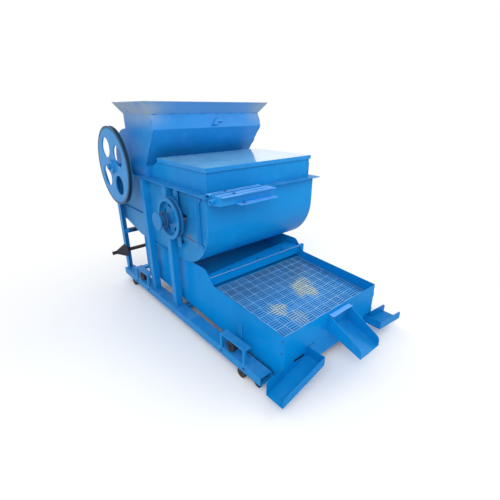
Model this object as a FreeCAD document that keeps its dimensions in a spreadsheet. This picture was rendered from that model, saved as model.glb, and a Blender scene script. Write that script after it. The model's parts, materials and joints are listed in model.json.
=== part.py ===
import FreeCAD, Part
import math
import os
from types import SimpleNamespace

import Sketcher

# A power driven peanut sheller, in millimetres.
# X runs across the machine and its pulleys are on the negative side.
# Y runs from the discharge end in front, negative, to the shelling drum behind.
# Z is up, and the origin is on the floor in the middle of the machine.
# A station is a distance behind the front face of the tray.

SIZES = {
    # sheet, sections and clearances
    "sheet": 3,
    "angle_wall": 5,
    "angle_leg": 50,
    "seat_gap": 0.3,
    "bearing_clearance": 0.05,
    "slide_clearance": 0.4,
    "overrun": 6,
    # base frame
    "foot_height": 50,
    "foot_radius": 33,
    "foot_flat": 1,
    "foot_hole_radius": 8,
    "foot_width": 60,
    "front_foot_station": 236,
    "rear_foot_station": 1740,
    "rail_reach": 75,
    "rail_width": 88,
    "rail_height": 55,
    "rail_wall": 5,
    "rail_front": 70,
    "rear_end": 1925,
    "cross_width": 50,
    "cross_height": 24,
    "middle_post_station": 1010,
    "drum_post_station": 1352,
    "tie_level": 440,
    "tie_height": 34,
    # body sheets
    "half_width": 470,
    "top_level": 1000,
    "flange_reach": 36,
    "flange_inner": 30,
    "side_front": 620,
    "side_bottom": 503,
    "return_front": 1611,
    "return_rear": 1880,
    "return_rise": 66,
    "rear_plate_height": 190,
    "inlet_radius": 128,
    "low_ledge_reach": 20,
    "high_ledge_reach": 12,
    "high_ledge_level": 703,
    # drum, hopper and concave
    "drum_station": 1655,
    "drum_level": 1060,
    "drum_shaft_radius": 20,
    "drum_shaft_reach": 115,
    "shaft_end_radius": 18,
    "shaft_end_length": 72,
    "drum_radius": 240,
    "beater_height": 26,
    "beater_width": 34,
    "spider_wall": 14,
    "spider_arm": 46,
    "spider_hub_radius": 42,
    "spider_hub_width": 44,
    "spider_inset": 85,
    "rotor_arms": 4,
    "concave_gap": 16,
    "concave_depth": 16,
    "concave_rib": 8,
    "concave_bar": 10,
    "concave_end_angle": 24,
    "concave_bars": 18,
    "concave_proud": 2,
    "concave_ribs": 3,
    "shaft_hole_play": 12,
    "collar_front": 1228,
    "collar_rear": 1650,
    "collar_bottom": 1331,
    "collar_fold_station": 1193,
    "collar_top": 1423,
    "slope_foot_gap": 21,
    "slope_foot_level": 1083,
    "cover_gap": 22,
    "rim_top": 1500,
    "rim_flare_side": 51,
    "rim_flare_end": 64,
    "lug_left": -4,
    "lug_middle": 46,
    "lug_right": 96,
    "lug_bottom": 1350,
    "lug_top": 1391,
    "lug_reach": 14,
    "lug_tab_height": 22,
    "bearing_width": 36,
    "bearing_gap": 4,
    "bearing_base_length": 150,
    "bearing_base_height": 18,
    "bearing_boss_radius": 42,
    # drum pulley
    "pulley_radius": 285,
    "pulley_width": 30,
    "pulley_stand": 135,
    "pulley_rim": 26,
    "pulley_web": 10,
    "pulley_hub_radius": 48,
    "pulley_hub_reach": 18,
    "groove_depth": 15,
    "groove_top": 20,
    "groove_bottom": 9,
    "window_place": 155,
    "window_long": 78,
    "window_short": 71,
    "window_turn": 12,
    "window_count": 4,
    "key_length": 60,
    "key_width": 10,
    # fan
    "fan_station": 932,
    "fan_level": 815,
    "casing_radius": 312,
    "casing_floor_end": 1080,
    "duct_station": 1238,
    "duct_plate_bottom": 800,
    "fan_shaft_radius": 17,
    "fan_shaft_reach": 70,
    "blade_tip": 282,
    "blade_root": 82,
    "blade_inset": 45,
    "blade_count": 4,
    "blade_arm_share": 0.8,
    "blade_arm": 40,
    "blade_arm_wall": 8,
    "fan_hub_radius": 34,
    "fan_spider_inset": 170,
    "bridge_stand": 26,
    "bridge_wall": 8,
    "bridge_width": 44,
    "bridge_foot": 604,
    "bridge_foot_height": 24,
    "fan_bearing_width": 26,
    "fan_bearing_radius": 40,
    "fan_flange_share": 1.5,
    "fan_pulley_radius": 135,
    "fan_pulley_stand": 58,
    "fan_pulley_width": 36,
    "fan_pulley_rim": 24,
    "fan_pulley_web": 10,
    "slot_place": 80,
    "slot_long": 30,
    "slot_short": 13,
    "slot_count": 5,
    "step_pulley_radius": 57,
    "step_groove_radius": 42,
    "step_disc": 12,
    "step_land_radius": 53,
    "step_groove_share": 0.7,
    "step_grooves": 2,
    # air shutters
    "shutter_front": 690,
    "shutter_length": 235,
    "shutter_bottom": 674,
    "shutter_top": 966,
    "shutter_handle": 28,
    "shutter_notch": 84,
    "shutter_notch_half": 26,
    "guide_front": 672,
    "guide_rear": 1006,
    "guide_base": 14,
    "guide_lip": 10,
    # cover box and lid
    "box_front": 648,
    "box_rear": 1222,
    "box_inset": 24,
    "box_tail_station": 1316,
    "box_tail_level": 1083,
    "box_top": 1131,
    "lid_front": 639,
    "lid_top": 1151,
    "lid_inset": 16,
    "hinge_radius": 7,
    "hinge_pin_radius": 3.5,
    "hinge_length": 90,
    "hinge_knuckles": 3,
    "hinge_inset": 170,
    # motor mount
    "motor_rear_station": 592,
    "motor_level": 1018,
    "motor_rear_left": 480,
    "motor_rear_right": 84,
    "motor_rear_width": 40,
    "motor_rail_wall": 5,
    "motor_front_station": 508,
    "motor_front_width": 84,
    "motor_front_left": 465,
    "motor_front_right": 62,
    "motor_apron": 52,
    "motor_low_front": 446,
    "motor_low_left": 355,
    "motor_low_width": 49,
    "low_slot_place": 190,
    "low_slot_length": 160,
    "low_bolt_place": 314,
    "motor_slot_length": 84,
    "motor_slot_radius": 6,
    "motor_slot_spacing": 240,
    "motor_slot_place": 292,
    "motor_bolt_place": 356,
    "gusset_depth": 66,
    "pivot_tube_radius": 13,
    "pivot_tube_station": 548,
    "pivot_tube_level": 984,
    "pivot_tube_bore": 9,
    "pivot_tube_overhang": 30,
    "bolt_head_radius": 9,
    "bolt_head_height": 7,
    "bolt_radius": 5,
    "bolt_length": 16,
    # shaker tray
    "tray_inset": 30,
    "tray_front_bottom": 78,
    "tray_front_top": 367,
    "tray_knee_station": 640,
    "tray_knee_level": 406,
    "tray_high_station": 722,
    "tray_high_level": 494,
    "tray_rear": 1640,
    "tray_rear_bottom": 170,
    "tray_knee_round": 40,
    "tray_rear_wall_top": 330,
    "pan_lift": 6,
    "sieve_front_level": 286,
    "sieve_slope": 0.088,
    "sieve_end": 690,
    "sieve_wall": 2,
    "sieve_margin": 12,
    "sieve_columns": 8,
    "sieve_rows": 6,
    "sieve_slots": 3,
    "sieve_slot_share": 0.5,
    "sieve_bridge": 14,
    "strip_width": 22,
    "strip_wall": 4,
    "bearer_height": 20,
    "bearer_count": 4,
    "bearer_margin": 14,
    "deflector_station": 676,
    "deflector_left_depth": 45,
    "deflector_right_depth": 140,
    "deflector_nose": 5,
    "deflector_bolt_inset": 24,
    "deflector_bolt_share": 0.6,
    "deflector_level": 448,
    "deflector_bottom": 384,
    "side_lug_reach": 48,
    "side_lug_bottom": 372,
    "side_lug_top": 456,
    "side_lug_round": 22,
    # chutes
    "chute_left": 61,
    "chute_right": 131,
    "chute_reach": 235,
    "chute_top": 343,
    "chute_floor": 232,
    "chute_end_floor": 160,
    "chute_end_wall": 55,
    "chute_lip": 34,
    "chute_round": 42,
    "chute_gate_bottom": 292,
    "trough_depth": 122,
    "trough_wall": 58,
    "trough_round": 26,
    "left_trough_share": 0.51,
    "left_trough_reach": 96,
    "left_trough_high": 150,
    "left_trough_low": 58,
    "left_trough_back": 98,
    "right_trough_share": 0.772,
    "right_trough_high": 102,
    "right_trough_low": 70,
    "right_trough_back": 62,
    "slot_inner_share": 0.568,
    "slot_outer_share": 0.757,
    "slot_level": 151,
    "slot_height": 22,
    "outlet_height": 39,
    "shaft_reach": 170,
    # rollers and guides
    "front_roller_station": 360,
    "rear_roller_station": 1585,
    "roller_radius": 35,
    "roller_width": 38,
    "roller_reach": 60,
    "axle_radius": 10,
    "strap_width": 34,
    "strap_wall": 6,
    "strap_rise": 116,
    "guide_half_length": 116,
    "guide_level": 206,
    "guide_wall": 6,
    "guide_leg": 16,
    "guide_reach": 55,
    "guide_shift": 39,
    "prop_front": 100,
    "prop_width": 22,
    "prop_lean": 60,
    # eccentric drive
    "eccentric_station": 1900,
    "eccentric_level": 280,
    "eccentric_shaft_radius": 16,
    "eccentric_shaft_reach": 132,
    "eccentric_offset": 8,
    "eccentric_radius": 28,
    "eccentric_width": 24,
    "eccentric_inset": 170,
    "strap_ring_play": 17,
    "strap_ring_wall": 9,
    "connecting_width": 30,
    "connecting_height": 12,
    "cone_length": 76,
    "cone_base_radius": 58,
    "cone_tip_radius": 20,
}

# Turns in degrees.
FULL_TURN = 360
HALF_TURN = 180
QUARTER_TURN = 90

doc = FreeCAD.newDocument("PeanutSheller")
table = doc.addObject("Spreadsheet::Sheet", "Sizes")
for row, (alias, amount) in enumerate(SIZES.items(), start=1):
    table.set(f"A{row}", alias)
    table.set(f"B{row}", str(amount))
    table.setAlias(f"B{row}", alias)
doc.recompute()


class Size:
    """A number together with the formula that binds it to the sheet of sizes."""

    def __init__(self, value, formula):
        self.value = float(value)
        self.formula = formula

    def __float__(self):
        return self.value

    def __add__(self, other):
        other = sized(other)
        return Size(self.value + other.value, f"({self.formula} + {other.formula})")

    def __radd__(self, other):
        return sized(other) + self

    def __sub__(self, other):
        other = sized(other)
        return Size(self.value - other.value, f"({self.formula} - {other.formula})")

    def __rsub__(self, other):
        return sized(other) - self

    def __mul__(self, other):
        other = sized(other)
        return Size(self.value * other.value, f"({self.formula} * {other.formula})")

    def __rmul__(self, other):
        return sized(other) * self

    def __truediv__(self, other):
        other = sized(other)
        return Size(self.value / other.value, f"({self.formula} / {other.formula})")

    def __neg__(self):
        return self * -1


def sized(number):
    """Give a plain number as a Size."""
    if isinstance(number, Size):
        return number
    return Size(number, f"({float(number)!r})")


d = SimpleNamespace(**{alias: Size(float(table.get(alias)), f"Sizes.{alias}") for alias in SIZES})
NODES = []

# Places across the machine, which follow the half width of its body.
d.rail_outer = d.half_width + d.rail_reach
d.post_outer = d.half_width + d.angle_leg
d.side_reach = d.half_width + d.shaft_reach
d.drum_shaft_right = d.half_width + d.drum_shaft_reach
d.pulley_face = d.half_width + d.pulley_stand
d.spider_span = d.half_width - d.spider_inset
d.fan_shaft_right = d.half_width + d.fan_shaft_reach
d.blade_half_width = d.half_width - d.blade_inset
d.fan_spider_span = d.half_width - d.fan_spider_inset
d.bridge_outer = d.half_width + d.bridge_stand
d.fan_pulley_inner = d.half_width + d.fan_pulley_stand
d.box_half_width = d.half_width - d.box_inset
d.lid_half_width = d.half_width - d.lid_inset
d.hinge_span = d.half_width - d.hinge_inset
d.tray_half_width = d.half_width - d.tray_inset
d.left_trough_start = d.half_width * d.left_trough_share
d.left_trough_end = d.half_width + d.left_trough_reach
d.right_trough_start = d.half_width * d.right_trough_share
d.slot_inner = d.half_width * d.slot_inner_share
d.slot_outer = d.half_width * d.slot_outer_share
d.roller_outer = d.half_width + d.roller_reach
d.eccentric_shaft_right = d.half_width + d.eccentric_shaft_reach
d.eccentric_place = d.half_width - d.eccentric_inset

# Places that several pieces share, worked out from the sizes.
d.concave_radius = d.drum_radius + d.concave_gap
d.cover_radius = d.drum_radius + d.cover_gap
d.slope_foot_station = d.drum_station - d.cover_radius - d.slope_foot_gap
ring_outer = d.eccentric_radius + d.strap_ring_play + d.strap_ring_wall
front_y = (d.chute_reach - d.eccentric_station - ring_outer) / 2
rail_top = d.foot_height + d.rail_height
flange_outer = d.half_width + d.flange_reach
side_inner = d.half_width - d.sheet
tray_inner = d.tray_half_width - d.sheet
roller_level = rail_top + d.roller_radius + d.seat_gap


def station(distance):
    """Give the Y of a place at a distance behind the tray's front face."""
    return front_y + distance


def name(item, label):
    """Give a piece its label and keep it for the build."""
    item.Label = label
    NODES.append(item)
    return item


def place(item, x=0, y=0, z=0, rotation=None):
    """Bind the place of a piece to the sizes."""
    if rotation is not None:
        item.Placement = FreeCAD.Placement(FreeCAD.Vector(0, 0, 0), rotation)
    for axis, length in (("x", x), ("y", y), ("z", z)):
        item.setExpression(f"Placement.Base.{axis}", sized(length).formula)
    return item


def span(side, inner, outer):
    """Give the X range of a piece at one side, -1 for left and 1 for right."""
    if side < 0:
        return -sized(outer), -sized(inner)
    return sized(inner), sized(outer)


def block(x, y, z):
    """Make a box from its X range, its range of stations and its Z range."""
    item = doc.addObject("Part::Box", "Block")
    item.setExpression("Length", (sized(x[1]) - x[0]).formula)
    item.setExpression("Width", (sized(y[1]) - y[0]).formula)
    item.setExpression("Height", (sized(z[1]) - z[0]).formula)
    return place(item, x[0], station(sized(y[0])), z[0])


def rod(x, middle, level, radius):
    """Make a round bar along X at a station and a level."""
    item = doc.addObject("Part::Cylinder", "Rod")
    item.setExpression("Radius", sized(radius).formula)
    item.setExpression("Height", (sized(x[1]) - x[0]).formula)
    turn = FreeCAD.Rotation(FreeCAD.Vector(0, 1, 0), QUARTER_TURN)
    return place(item, x[0], station(sized(middle)), level, turn)


def stud(x, middle, z, radius):
    """Make an upright round bar."""
    item = doc.addObject("Part::Cylinder", "Stud")
    item.setExpression("Radius", sized(radius).formula)
    item.setExpression("Height", (sized(z[1]) - z[0]).formula)
    return place(item, x, station(sized(middle)), z[0])


def hexagon(radius, height, spot, rotation=None):
    """Make a six sided bolt head that stands on a place."""
    item = doc.addObject("Part::Prism", "Hexagon")
    item.Polygon = 6
    item.setExpression("Circumradius", sized(radius).formula)
    item.setExpression("Height", sized(height).formula)
    return place(item, spot[0], station(sized(spot[1])), spot[2], rotation)


def join(*items):
    """Join touching pieces into one solid."""
    item = doc.addObject("Part::MultiFuse", "Join")
    item.Shapes = list(items)
    item.Refine = True
    return item


def group(*items):
    """Hold separate solids together as one node."""
    item = doc.addObject("Part::Compound", "Group")
    item.Links = list(items)
    return item


def cut(base, *tools):
    """Take one or more tools away from a piece."""
    item = doc.addObject("Part::Cut", "Cut")
    item.Base = base
    item.Tool = tools[0] if len(tools) == 1 else group(*tools)
    return item


def common(base, tool):
    """Keep what two pieces share."""
    item = doc.addObject("Part::Common", "Common")
    item.Base = base
    item.Tool = tool
    return item


def origin_plane(body, role):
    """Find one of the origin planes of a body."""
    for feature in body.Origin.OriginFeatures:
        if feature.Role == role:
            return feature
    raise ValueError(role)


def pin_point(sketch, line, end, point):
    """Bind one end of a sketch line to a place in the sketch."""
    for kind, length in zip(("DistanceX", "DistanceY"), point):
        length = sized(length)
        rule = Sketcher.Constraint(kind, -1, 1, line, end, length.value)
        index = sketch.addConstraint(rule)
        sketch.setExpression(f"Constraints[{index}]", length.formula)


def draw_outline(sketch, points):
    """Draw a closed outline of straight lines with every corner bound to the sizes."""
    spots = [FreeCAD.Vector(float(u), float(v), 0) for u, v in points]
    first = None
    for index, spot in enumerate(spots):
        following = spots[(index + 1) % len(spots)]
        line = sketch.addGeometry(Part.LineSegment(spot, following))
        first = line if first is None else first
        pin_point(sketch, line, 1, points[index])
    count = len(points)
    for index in range(count):
        following = first + (index + 1) % count
        sketch.addConstraint(Sketcher.Constraint("Coincident", first + index, 2, following, 1))


def draw_circle(sketch, centre, radius):
    """Draw a circle bound to the sizes."""
    middle = FreeCAD.Vector(float(centre[0]), float(centre[1]), 0)
    circle = sketch.addGeometry(Part.Circle(middle, FreeCAD.Vector(0, 0, 1), float(radius)))
    pin_point(sketch, circle, 3, centre)
    index = sketch.addConstraint(Sketcher.Constraint("Radius", circle, float(radius)))
    sketch.setExpression(f"Constraints[{index}]", sized(radius).formula)


def new_sketch(body, plane):
    """Attach a new sketch to an origin plane of its own body."""
    sketch = body.newObject("Sketcher::SketchObject", "Outline")
    sketch.AttachmentSupport = [(origin_plane(body, plane), "")]
    sketch.MapMode = "FlatFace"
    return sketch


def pad(plane, thickness, outlines, circles=()):
    """Pad closed outlines and round holes drawn on an origin plane of a new body."""
    body = doc.addObject("PartDesign::Body", "Plate")
    sketch = new_sketch(body, plane)
    for outline in outlines:
        draw_outline(sketch, outline)
    for centre, radius in circles:
        draw_circle(sketch, centre, radius)
    feature = body.newObject("PartDesign::Pad", "Pad")
    feature.Profile = sketch
    feature.setExpression("Length", sized(thickness).formula)
    sketch.Visibility = False
    doc.recompute()
    return body


def rounded(body, corners, radius):
    """Round the padded edges that stand on the given corners of the outline."""
    tip = body.Tip
    spots = [(float(u), float(v)) for u, v in corners]
    normal = body.Group[0].Placement.Rotation.multVec(FreeCAD.Vector(0, 0, 1))
    turn = body.Group[0].Placement.Rotation.inverted()
    names = []
    for index, edge in enumerate(tip.Shape.Edges, start=1):
        if edge.Curve.TypeId != "Part::GeomLine":
            continue
        run = edge.Vertexes[1].Point - edge.Vertexes[0].Point
        if abs(run.normalize().dot(normal)) < math.cos(math.radians(1)):
            continue
        local = turn.multVec(edge.Vertexes[0].Point)
        if any(math.hypot(local.x - u, local.y - v) < float(d.seat_gap) for u, v in spots):
            names.append(f"Edge{index}")
    feature = body.newObject("PartDesign::Fillet", "Round")
    feature.Base = (tip, names)
    feature.setExpression("Radius", sized(radius).formula)
    body.Tip = feature
    doc.recompute()
    return body


def side_sheet(x, outline, thickness=None, circles=()):
    """Make a sheet in the side view: an outline in stations and levels, padded along X."""
    points = [(station(sized(u)), v) for u, v in outline]
    holes = [((station(sized(u)), v), radius) for (u, v), radius in circles]
    body = pad("YZ_Plane", d.sheet if thickness is None else thickness, [points], holes)
    return place(body, x=x)


def front_sheet(back, outlines, thickness=None, circles=()):
    """Make a sheet in the front view, padded towards the front from a station."""
    body = pad("XZ_Plane", d.sheet if thickness is None else thickness, outlines, circles)
    return place(body, y=station(sized(back)))


def turned(profile, x, middle, level):
    """Turn a profile of axial places and radii round a shaft along X."""
    body = doc.addObject("PartDesign::Body", "Turned")
    sketch = new_sketch(body, "XY_Plane")
    draw_outline(sketch, profile)
    feature = body.newObject("PartDesign::Revolution", "Turn")
    feature.Profile = sketch
    feature.ReferenceAxis = (sketch, ["H_Axis"])
    feature.Angle = FULL_TURN
    doc.recompute()
    return place(body, x, station(sized(middle)), level)


def spun(item, middle, level, angle):
    """Turn a piece drawn about the X axis to an angle, and set it on its shaft."""
    holder = group(item)
    return place(holder, 0, station(sized(middle)), level, FreeCAD.Rotation(FreeCAD.Vector(1, 0, 0), angle))


def oval(x, place_radius, long_radius, short_radius, angle, middle, level):
    """Make an oval cutter along X, long round the shaft, at an angle about it."""
    curve = doc.addObject("Part::Ellipse", "Oval")
    curve.setExpression("MajorRadius", sized(long_radius).formula)
    curve.setExpression("MinorRadius", sized(short_radius).formula)
    level_turn = FreeCAD.Rotation(FreeCAD.Vector(1, 0, 0), QUARTER_TURN)
    side_turn = FreeCAD.Rotation(FreeCAD.Vector(0, 1, 0), QUARTER_TURN)
    place(curve, x[0], 0, place_radius, level_turn.multiply(side_turn))
    tool = doc.addObject("Part::Extrusion", "Window")
    tool.Base = curve
    tool.DirMode = "Custom"
    tool.Dir = FreeCAD.Vector(1, 0, 0)
    tool.setExpression("LengthFwd", (sized(x[1]) - x[0]).formula)
    tool.Solid = True
    return spun(tool, middle, level, angle)


def rectangle(x, z):
    """Give the corners of a rectangle in the front view."""
    return [(x[0], z[0]), (x[1], z[0]), (x[1], z[1]), (x[0], z[1])]


def solid_feature(label, shape):
    """Keep a shape that is worked out from the sizes as a piece of the document."""
    item = doc.addObject("Part::Feature", "Form")
    item.Shape = shape
    return name(item, label)


def make_base():
    """Rails, cross members, feet, posts, legs and the tie bar."""
    inner = d.rail_outer - d.rail_width
    rails = []
    for side in (-1, 1):
        edges = span(side, inner, d.rail_outer)
        outer = rectangle(edges, (d.foot_height, rail_top))
        low = d.foot_height + d.rail_wall
        high = rail_top - d.rail_wall
        near = edges[0] + d.rail_wall
        far = edges[1] - d.rail_wall
        hollow = rectangle((near, far), (low, high))
        rails.append(front_sheet(d.rear_end, [outer, hollow], d.rear_end - d.rail_front))
    name(group(*rails), "base_rails")
    members = []
    for start in (d.rail_front, d.middle_post_station, d.rear_end - d.cross_width):
        top = d.foot_height + d.cross_height
        outline = [
            (start, d.foot_height),
            (start + d.angle_wall, d.foot_height),
            (start + d.angle_wall, top - d.angle_wall),
            (start + d.cross_width, top - d.angle_wall),
            (start + d.cross_width, top),
            (start, top),
        ]
        members.append(side_sheet(-inner, outline, inner * 2))
    name(group(*members), "cross_members")
    feet = []
    for side in (-1, 1):
        edges = span(side, d.rail_outer - d.foot_width, d.rail_outer)
        for middle in (d.front_foot_station, d.rear_foot_station):
            disc = rod(edges, middle, d.foot_radius - d.foot_flat, d.foot_radius)
            keep = block(edges, (middle - d.foot_radius, middle + d.foot_radius), (0, d.foot_height))
            hole_x = (edges[0] - d.overrun, edges[1] + d.overrun)
            hole = rod(hole_x, middle, d.foot_height / 2, d.foot_hole_radius)
            feet.append(cut(common(disc, keep), hole))
        prop_x, _ = span(side, d.rail_outer - d.prop_width * 2, d.rail_outer - d.prop_width)
        outline = [
            (d.prop_front, 0),
            (d.prop_front + d.prop_width, 0),
            (d.prop_front + d.prop_lean + d.prop_width * 2, d.foot_height),
            (d.prop_front + d.prop_lean, d.foot_height),
        ]
        feet.append(side_sheet(prop_x, outline, d.prop_width))
    name(group(*feet), "feet")
    make_posts()


def make_posts():
    """Two posts and a rear leg of angle iron on each rail."""
    top = d.top_level - d.angle_wall
    posts = []
    legs = []
    for side in (-1, 1):
        outer_face = span(side, d.post_outer - d.angle_wall, d.post_outer)
        across = span(side, d.half_width, d.post_outer)
        for start in (d.middle_post_station, d.drum_post_station):
            flange = block(outer_face, (start, start + d.angle_leg), (rail_top, top))
            web = block(across, (start, start + d.angle_wall), (rail_top, top))
            posts.append(join(flange, web))
        start = d.rear_end - d.angle_leg
        flange = block(outer_face, (start, d.rear_end), (rail_top, top))
        web = block(across, (d.rear_end - d.angle_wall, d.rear_end), (rail_top, top))
        hole_x = (outer_face[0] - d.overrun, outer_face[1] + d.overrun)
        hole_radius = d.eccentric_shaft_radius + d.angle_wall / 2
        hole = rod(hole_x, d.eccentric_station, d.eccentric_level, hole_radius)
        legs.append(cut(join(flange, web), hole))
    bar = block(
        (-d.post_outer + d.angle_wall, d.post_outer - d.angle_wall),
        (d.rear_end - d.angle_wall - d.tie_height, d.rear_end - d.angle_wall),
        (d.tie_level, d.tie_level + d.tie_height),
    )
    legs.append(bar)
    name(group(*posts), "posts")
    name(group(*legs), "rear_legs")


def make_body():
    """Side plates, top angles, casing, duct and rear sheets."""
    angles = []
    for side, word in ((-1, "left"), (1, "right")):
        near, _ = span(side, side_inner, d.half_width)
        top = d.top_level - d.angle_wall
        outline = [
            (d.side_front, top),
            (d.side_front, d.side_bottom),
            (d.return_front, d.side_bottom),
            (d.return_rear, d.side_bottom + d.return_rise),
            (d.rear_end - d.angle_wall, d.side_bottom + d.return_rise),
            (d.rear_end - d.angle_wall, top),
        ]
        plate = side_sheet(near, outline, circles=[((d.fan_station, d.fan_level), d.inlet_radius)])
        corner = [(station(d.side_front), d.side_bottom)]
        name(rounded(plate, corner, d.casing_radius), f"{word}_side_plate")
        across = span(side, d.half_width - d.flange_inner, flange_outer)
        level = (d.top_level - d.angle_wall, d.top_level)
        angles.append(block(across, (d.side_front - d.flange_reach, d.rear_end), level))
    across = (-d.half_width + d.flange_inner, d.half_width - d.flange_inner)
    angles.append(block(across, (d.side_front - d.flange_reach, d.box_front), level))
    name(group(*angles), "top_angles")
    make_ledges()
    make_casing()
    across = (-side_inner, side_inner)
    level = d.side_bottom
    outline = [
        (d.return_front, level),
        (d.return_rear, level + d.return_rise),
        (d.return_rear, level + d.return_rise + d.sheet),
        (d.return_front, level + d.sheet),
    ]
    slope = side_sheet(-side_inner, outline, side_inner * 2)
    rear = d.rear_end - d.angle_wall
    top = d.top_level - d.angle_wall
    plate = block(across, (rear - d.sheet, rear), (top - d.rear_plate_height, top))
    name(group(slope, plate), "rear_plates")


def make_ledges():
    """Narrow ledges along the outside of the side plates, between the posts."""
    ledges = []
    for side in (-1, 1):
        low = span(side, d.half_width, d.half_width + d.low_ledge_reach)
        run = (d.middle_post_station + d.angle_wall, d.drum_post_station)
        ledges.append(block(low, run, (d.side_bottom, d.side_bottom + d.sheet)))
        high = span(side, d.half_width, d.half_width + d.high_ledge_reach)
        run = (d.drum_post_station + d.angle_wall, d.rear_end - d.angle_wall)
        ledges.append(block(high, run, (d.high_ledge_level, d.high_ledge_level + d.sheet)))
    name(group(*ledges), "side_ledges")


def make_casing():
    """The bent sheet that wraps the fan from the top front, round below it and back to the duct."""
    across = (-side_inner, side_inner)
    shell = rod(across, d.fan_station, d.fan_level, d.casing_radius)
    bore_x = (across[0] - d.overrun, across[1] + d.overrun)
    bore = rod(bore_x, d.fan_station, d.fan_level, d.casing_radius - d.sheet)
    bottom = d.fan_level - d.casing_radius
    quarter = block(across, (d.side_front, d.fan_station), (bottom, d.fan_level))
    bend = common(cut(shell, bore), quarter)
    front = block(across, (d.side_front, d.side_front + d.sheet), (d.fan_level, d.top_level - d.angle_wall))
    floor = block(across, (d.fan_station, d.casing_floor_end), (bottom, bottom + d.sheet))
    duct = block(
        across,
        (d.duct_station, d.duct_station + d.sheet),
        (d.duct_plate_bottom, d.top_level - d.angle_wall),
    )
    name(group(join(bend, front, floor), duct), "fan_casing")


def make_hopper():
    """Hopper walls, drum cover, flared rim and the lug on the front."""
    front_outline = [
        (d.collar_front, d.collar_top),
        (d.collar_fold_station, d.collar_bottom),
        (d.slope_foot_station, d.slope_foot_level),
        (d.slope_foot_station, d.top_level),
        (d.slope_foot_station + d.sheet, d.top_level),
        (d.slope_foot_station + d.sheet, d.slope_foot_level),
        (d.collar_fold_station + d.sheet, d.collar_bottom),
        (d.collar_front + d.sheet, d.collar_top),
    ]
    front = side_sheet(-side_inner, front_outline, side_inner * 2)
    rear = block(
        (-side_inner, side_inner),
        (d.collar_rear - d.sheet, d.collar_rear),
        (d.drum_level + d.cover_radius, d.collar_top),
    )
    walls = [front, rear]
    for side in (-1, 1):
        near, _ = span(side, side_inner, d.half_width)
        outline = [
            (d.collar_front, d.collar_top),
            (d.collar_fold_station, d.collar_bottom),
            (d.slope_foot_station, d.slope_foot_level),
            (d.slope_foot_station, d.top_level),
            (d.drum_station + d.cover_radius, d.top_level),
            (d.drum_station + d.cover_radius, d.drum_level + d.cover_radius),
            (d.collar_rear, d.drum_level + d.cover_radius),
            (d.collar_rear, d.collar_top),
        ]
        hole = d.drum_shaft_radius + d.shaft_hole_play
        wall = side_sheet(near, outline, circles=[((d.drum_station, d.drum_level), hole)])
        corner = [(station(d.drum_station + d.cover_radius), d.drum_level + d.cover_radius)]
        walls.append(rounded(wall, corner, d.cover_radius))
    name(join(*walls, *hopper_lug()), "hopper")
    across = (-side_inner, side_inner)
    shell = rod(across, d.drum_station, d.drum_level, d.cover_radius)
    bore_x = (across[0] - d.overrun, across[1] + d.overrun)
    bore = rod(bore_x, d.drum_station, d.drum_level, d.cover_radius - d.sheet)
    quarter = block(
        across,
        (d.drum_station, d.drum_station + d.cover_radius),
        (d.drum_level, d.drum_level + d.cover_radius),
    )
    rear = d.drum_station + d.cover_radius
    skirt = block(across, (rear - d.sheet, rear), (d.top_level, d.drum_level))
    name(join(common(cut(shell, bore), quarter), skirt), "drum_cover")
    make_rim()


def collar_station(level):
    """Give the station of the collar's leaning front at a level."""
    lean = (d.collar_front - d.collar_fold_station) / (d.collar_top - d.collar_bottom)
    return d.collar_fold_station + lean * (level - d.collar_bottom)


def collar_slab(x, level):
    """Make a slab that stands on the leaning front of the collar."""
    low = collar_station(level[0])
    high = collar_station(level[1])
    outline = [
        (low, level[0]),
        (high, level[1]),
        (high - d.lug_reach, level[1]),
        (low - d.lug_reach, level[0]),
    ]
    return side_sheet(x[0], outline, x[1] - x[0])


def hopper_lug():
    """The bent lug on the front of the collar: a pointed ear and a square tab beside it."""
    tab = collar_slab((d.lug_middle, d.lug_right), (d.lug_top - d.lug_tab_height, d.lug_top))
    slab = collar_slab((d.lug_left, d.lug_middle), (d.lug_bottom, d.lug_top))
    point = [
        (d.lug_left, d.lug_bottom),
        (d.lug_middle, d.lug_bottom),
        (d.lug_middle, d.lug_top),
    ]
    depth = d.collar_front - d.collar_fold_station + d.lug_reach
    ear = common(slab, front_sheet(d.collar_front, [point], depth))
    return tab, ear


def make_rim():
    """The flared rim, a thin funnel from the collar to its open edge."""
    outer = funnel(sized(0))
    inner = funnel(d.sheet)
    name(cut(outer, inner), "hopper_rim")


def funnel(wall):
    """Make the tapered block of the rim, narrowed by a wall all round."""
    item = doc.addObject("Part::Wedge", "Funnel")
    wide = d.half_width + d.rim_flare_side - wall
    sizes = {
        "Xmin": -d.half_width + wall,
        "Xmax": d.half_width - wall,
        "X2min": -wide,
        "X2max": wide,
        "Ymin": sized(0),
        "Ymax": d.rim_top - d.collar_top,
        "Zmin": -d.collar_rear + wall,
        "Zmax": -d.collar_front - wall,
        "Z2min": -d.collar_rear - d.rim_flare_end + wall,
        "Z2max": -d.collar_front + d.rim_flare_end - wall,
    }
    for side, length in sizes.items():
        setattr(item, side, float(length))
        item.setExpression(side, length.formula)
    turn = FreeCAD.Rotation(FreeCAD.Vector(1, 0, 0), QUARTER_TURN)
    return place(item, 0, front_y, d.collar_top, turn)


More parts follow.
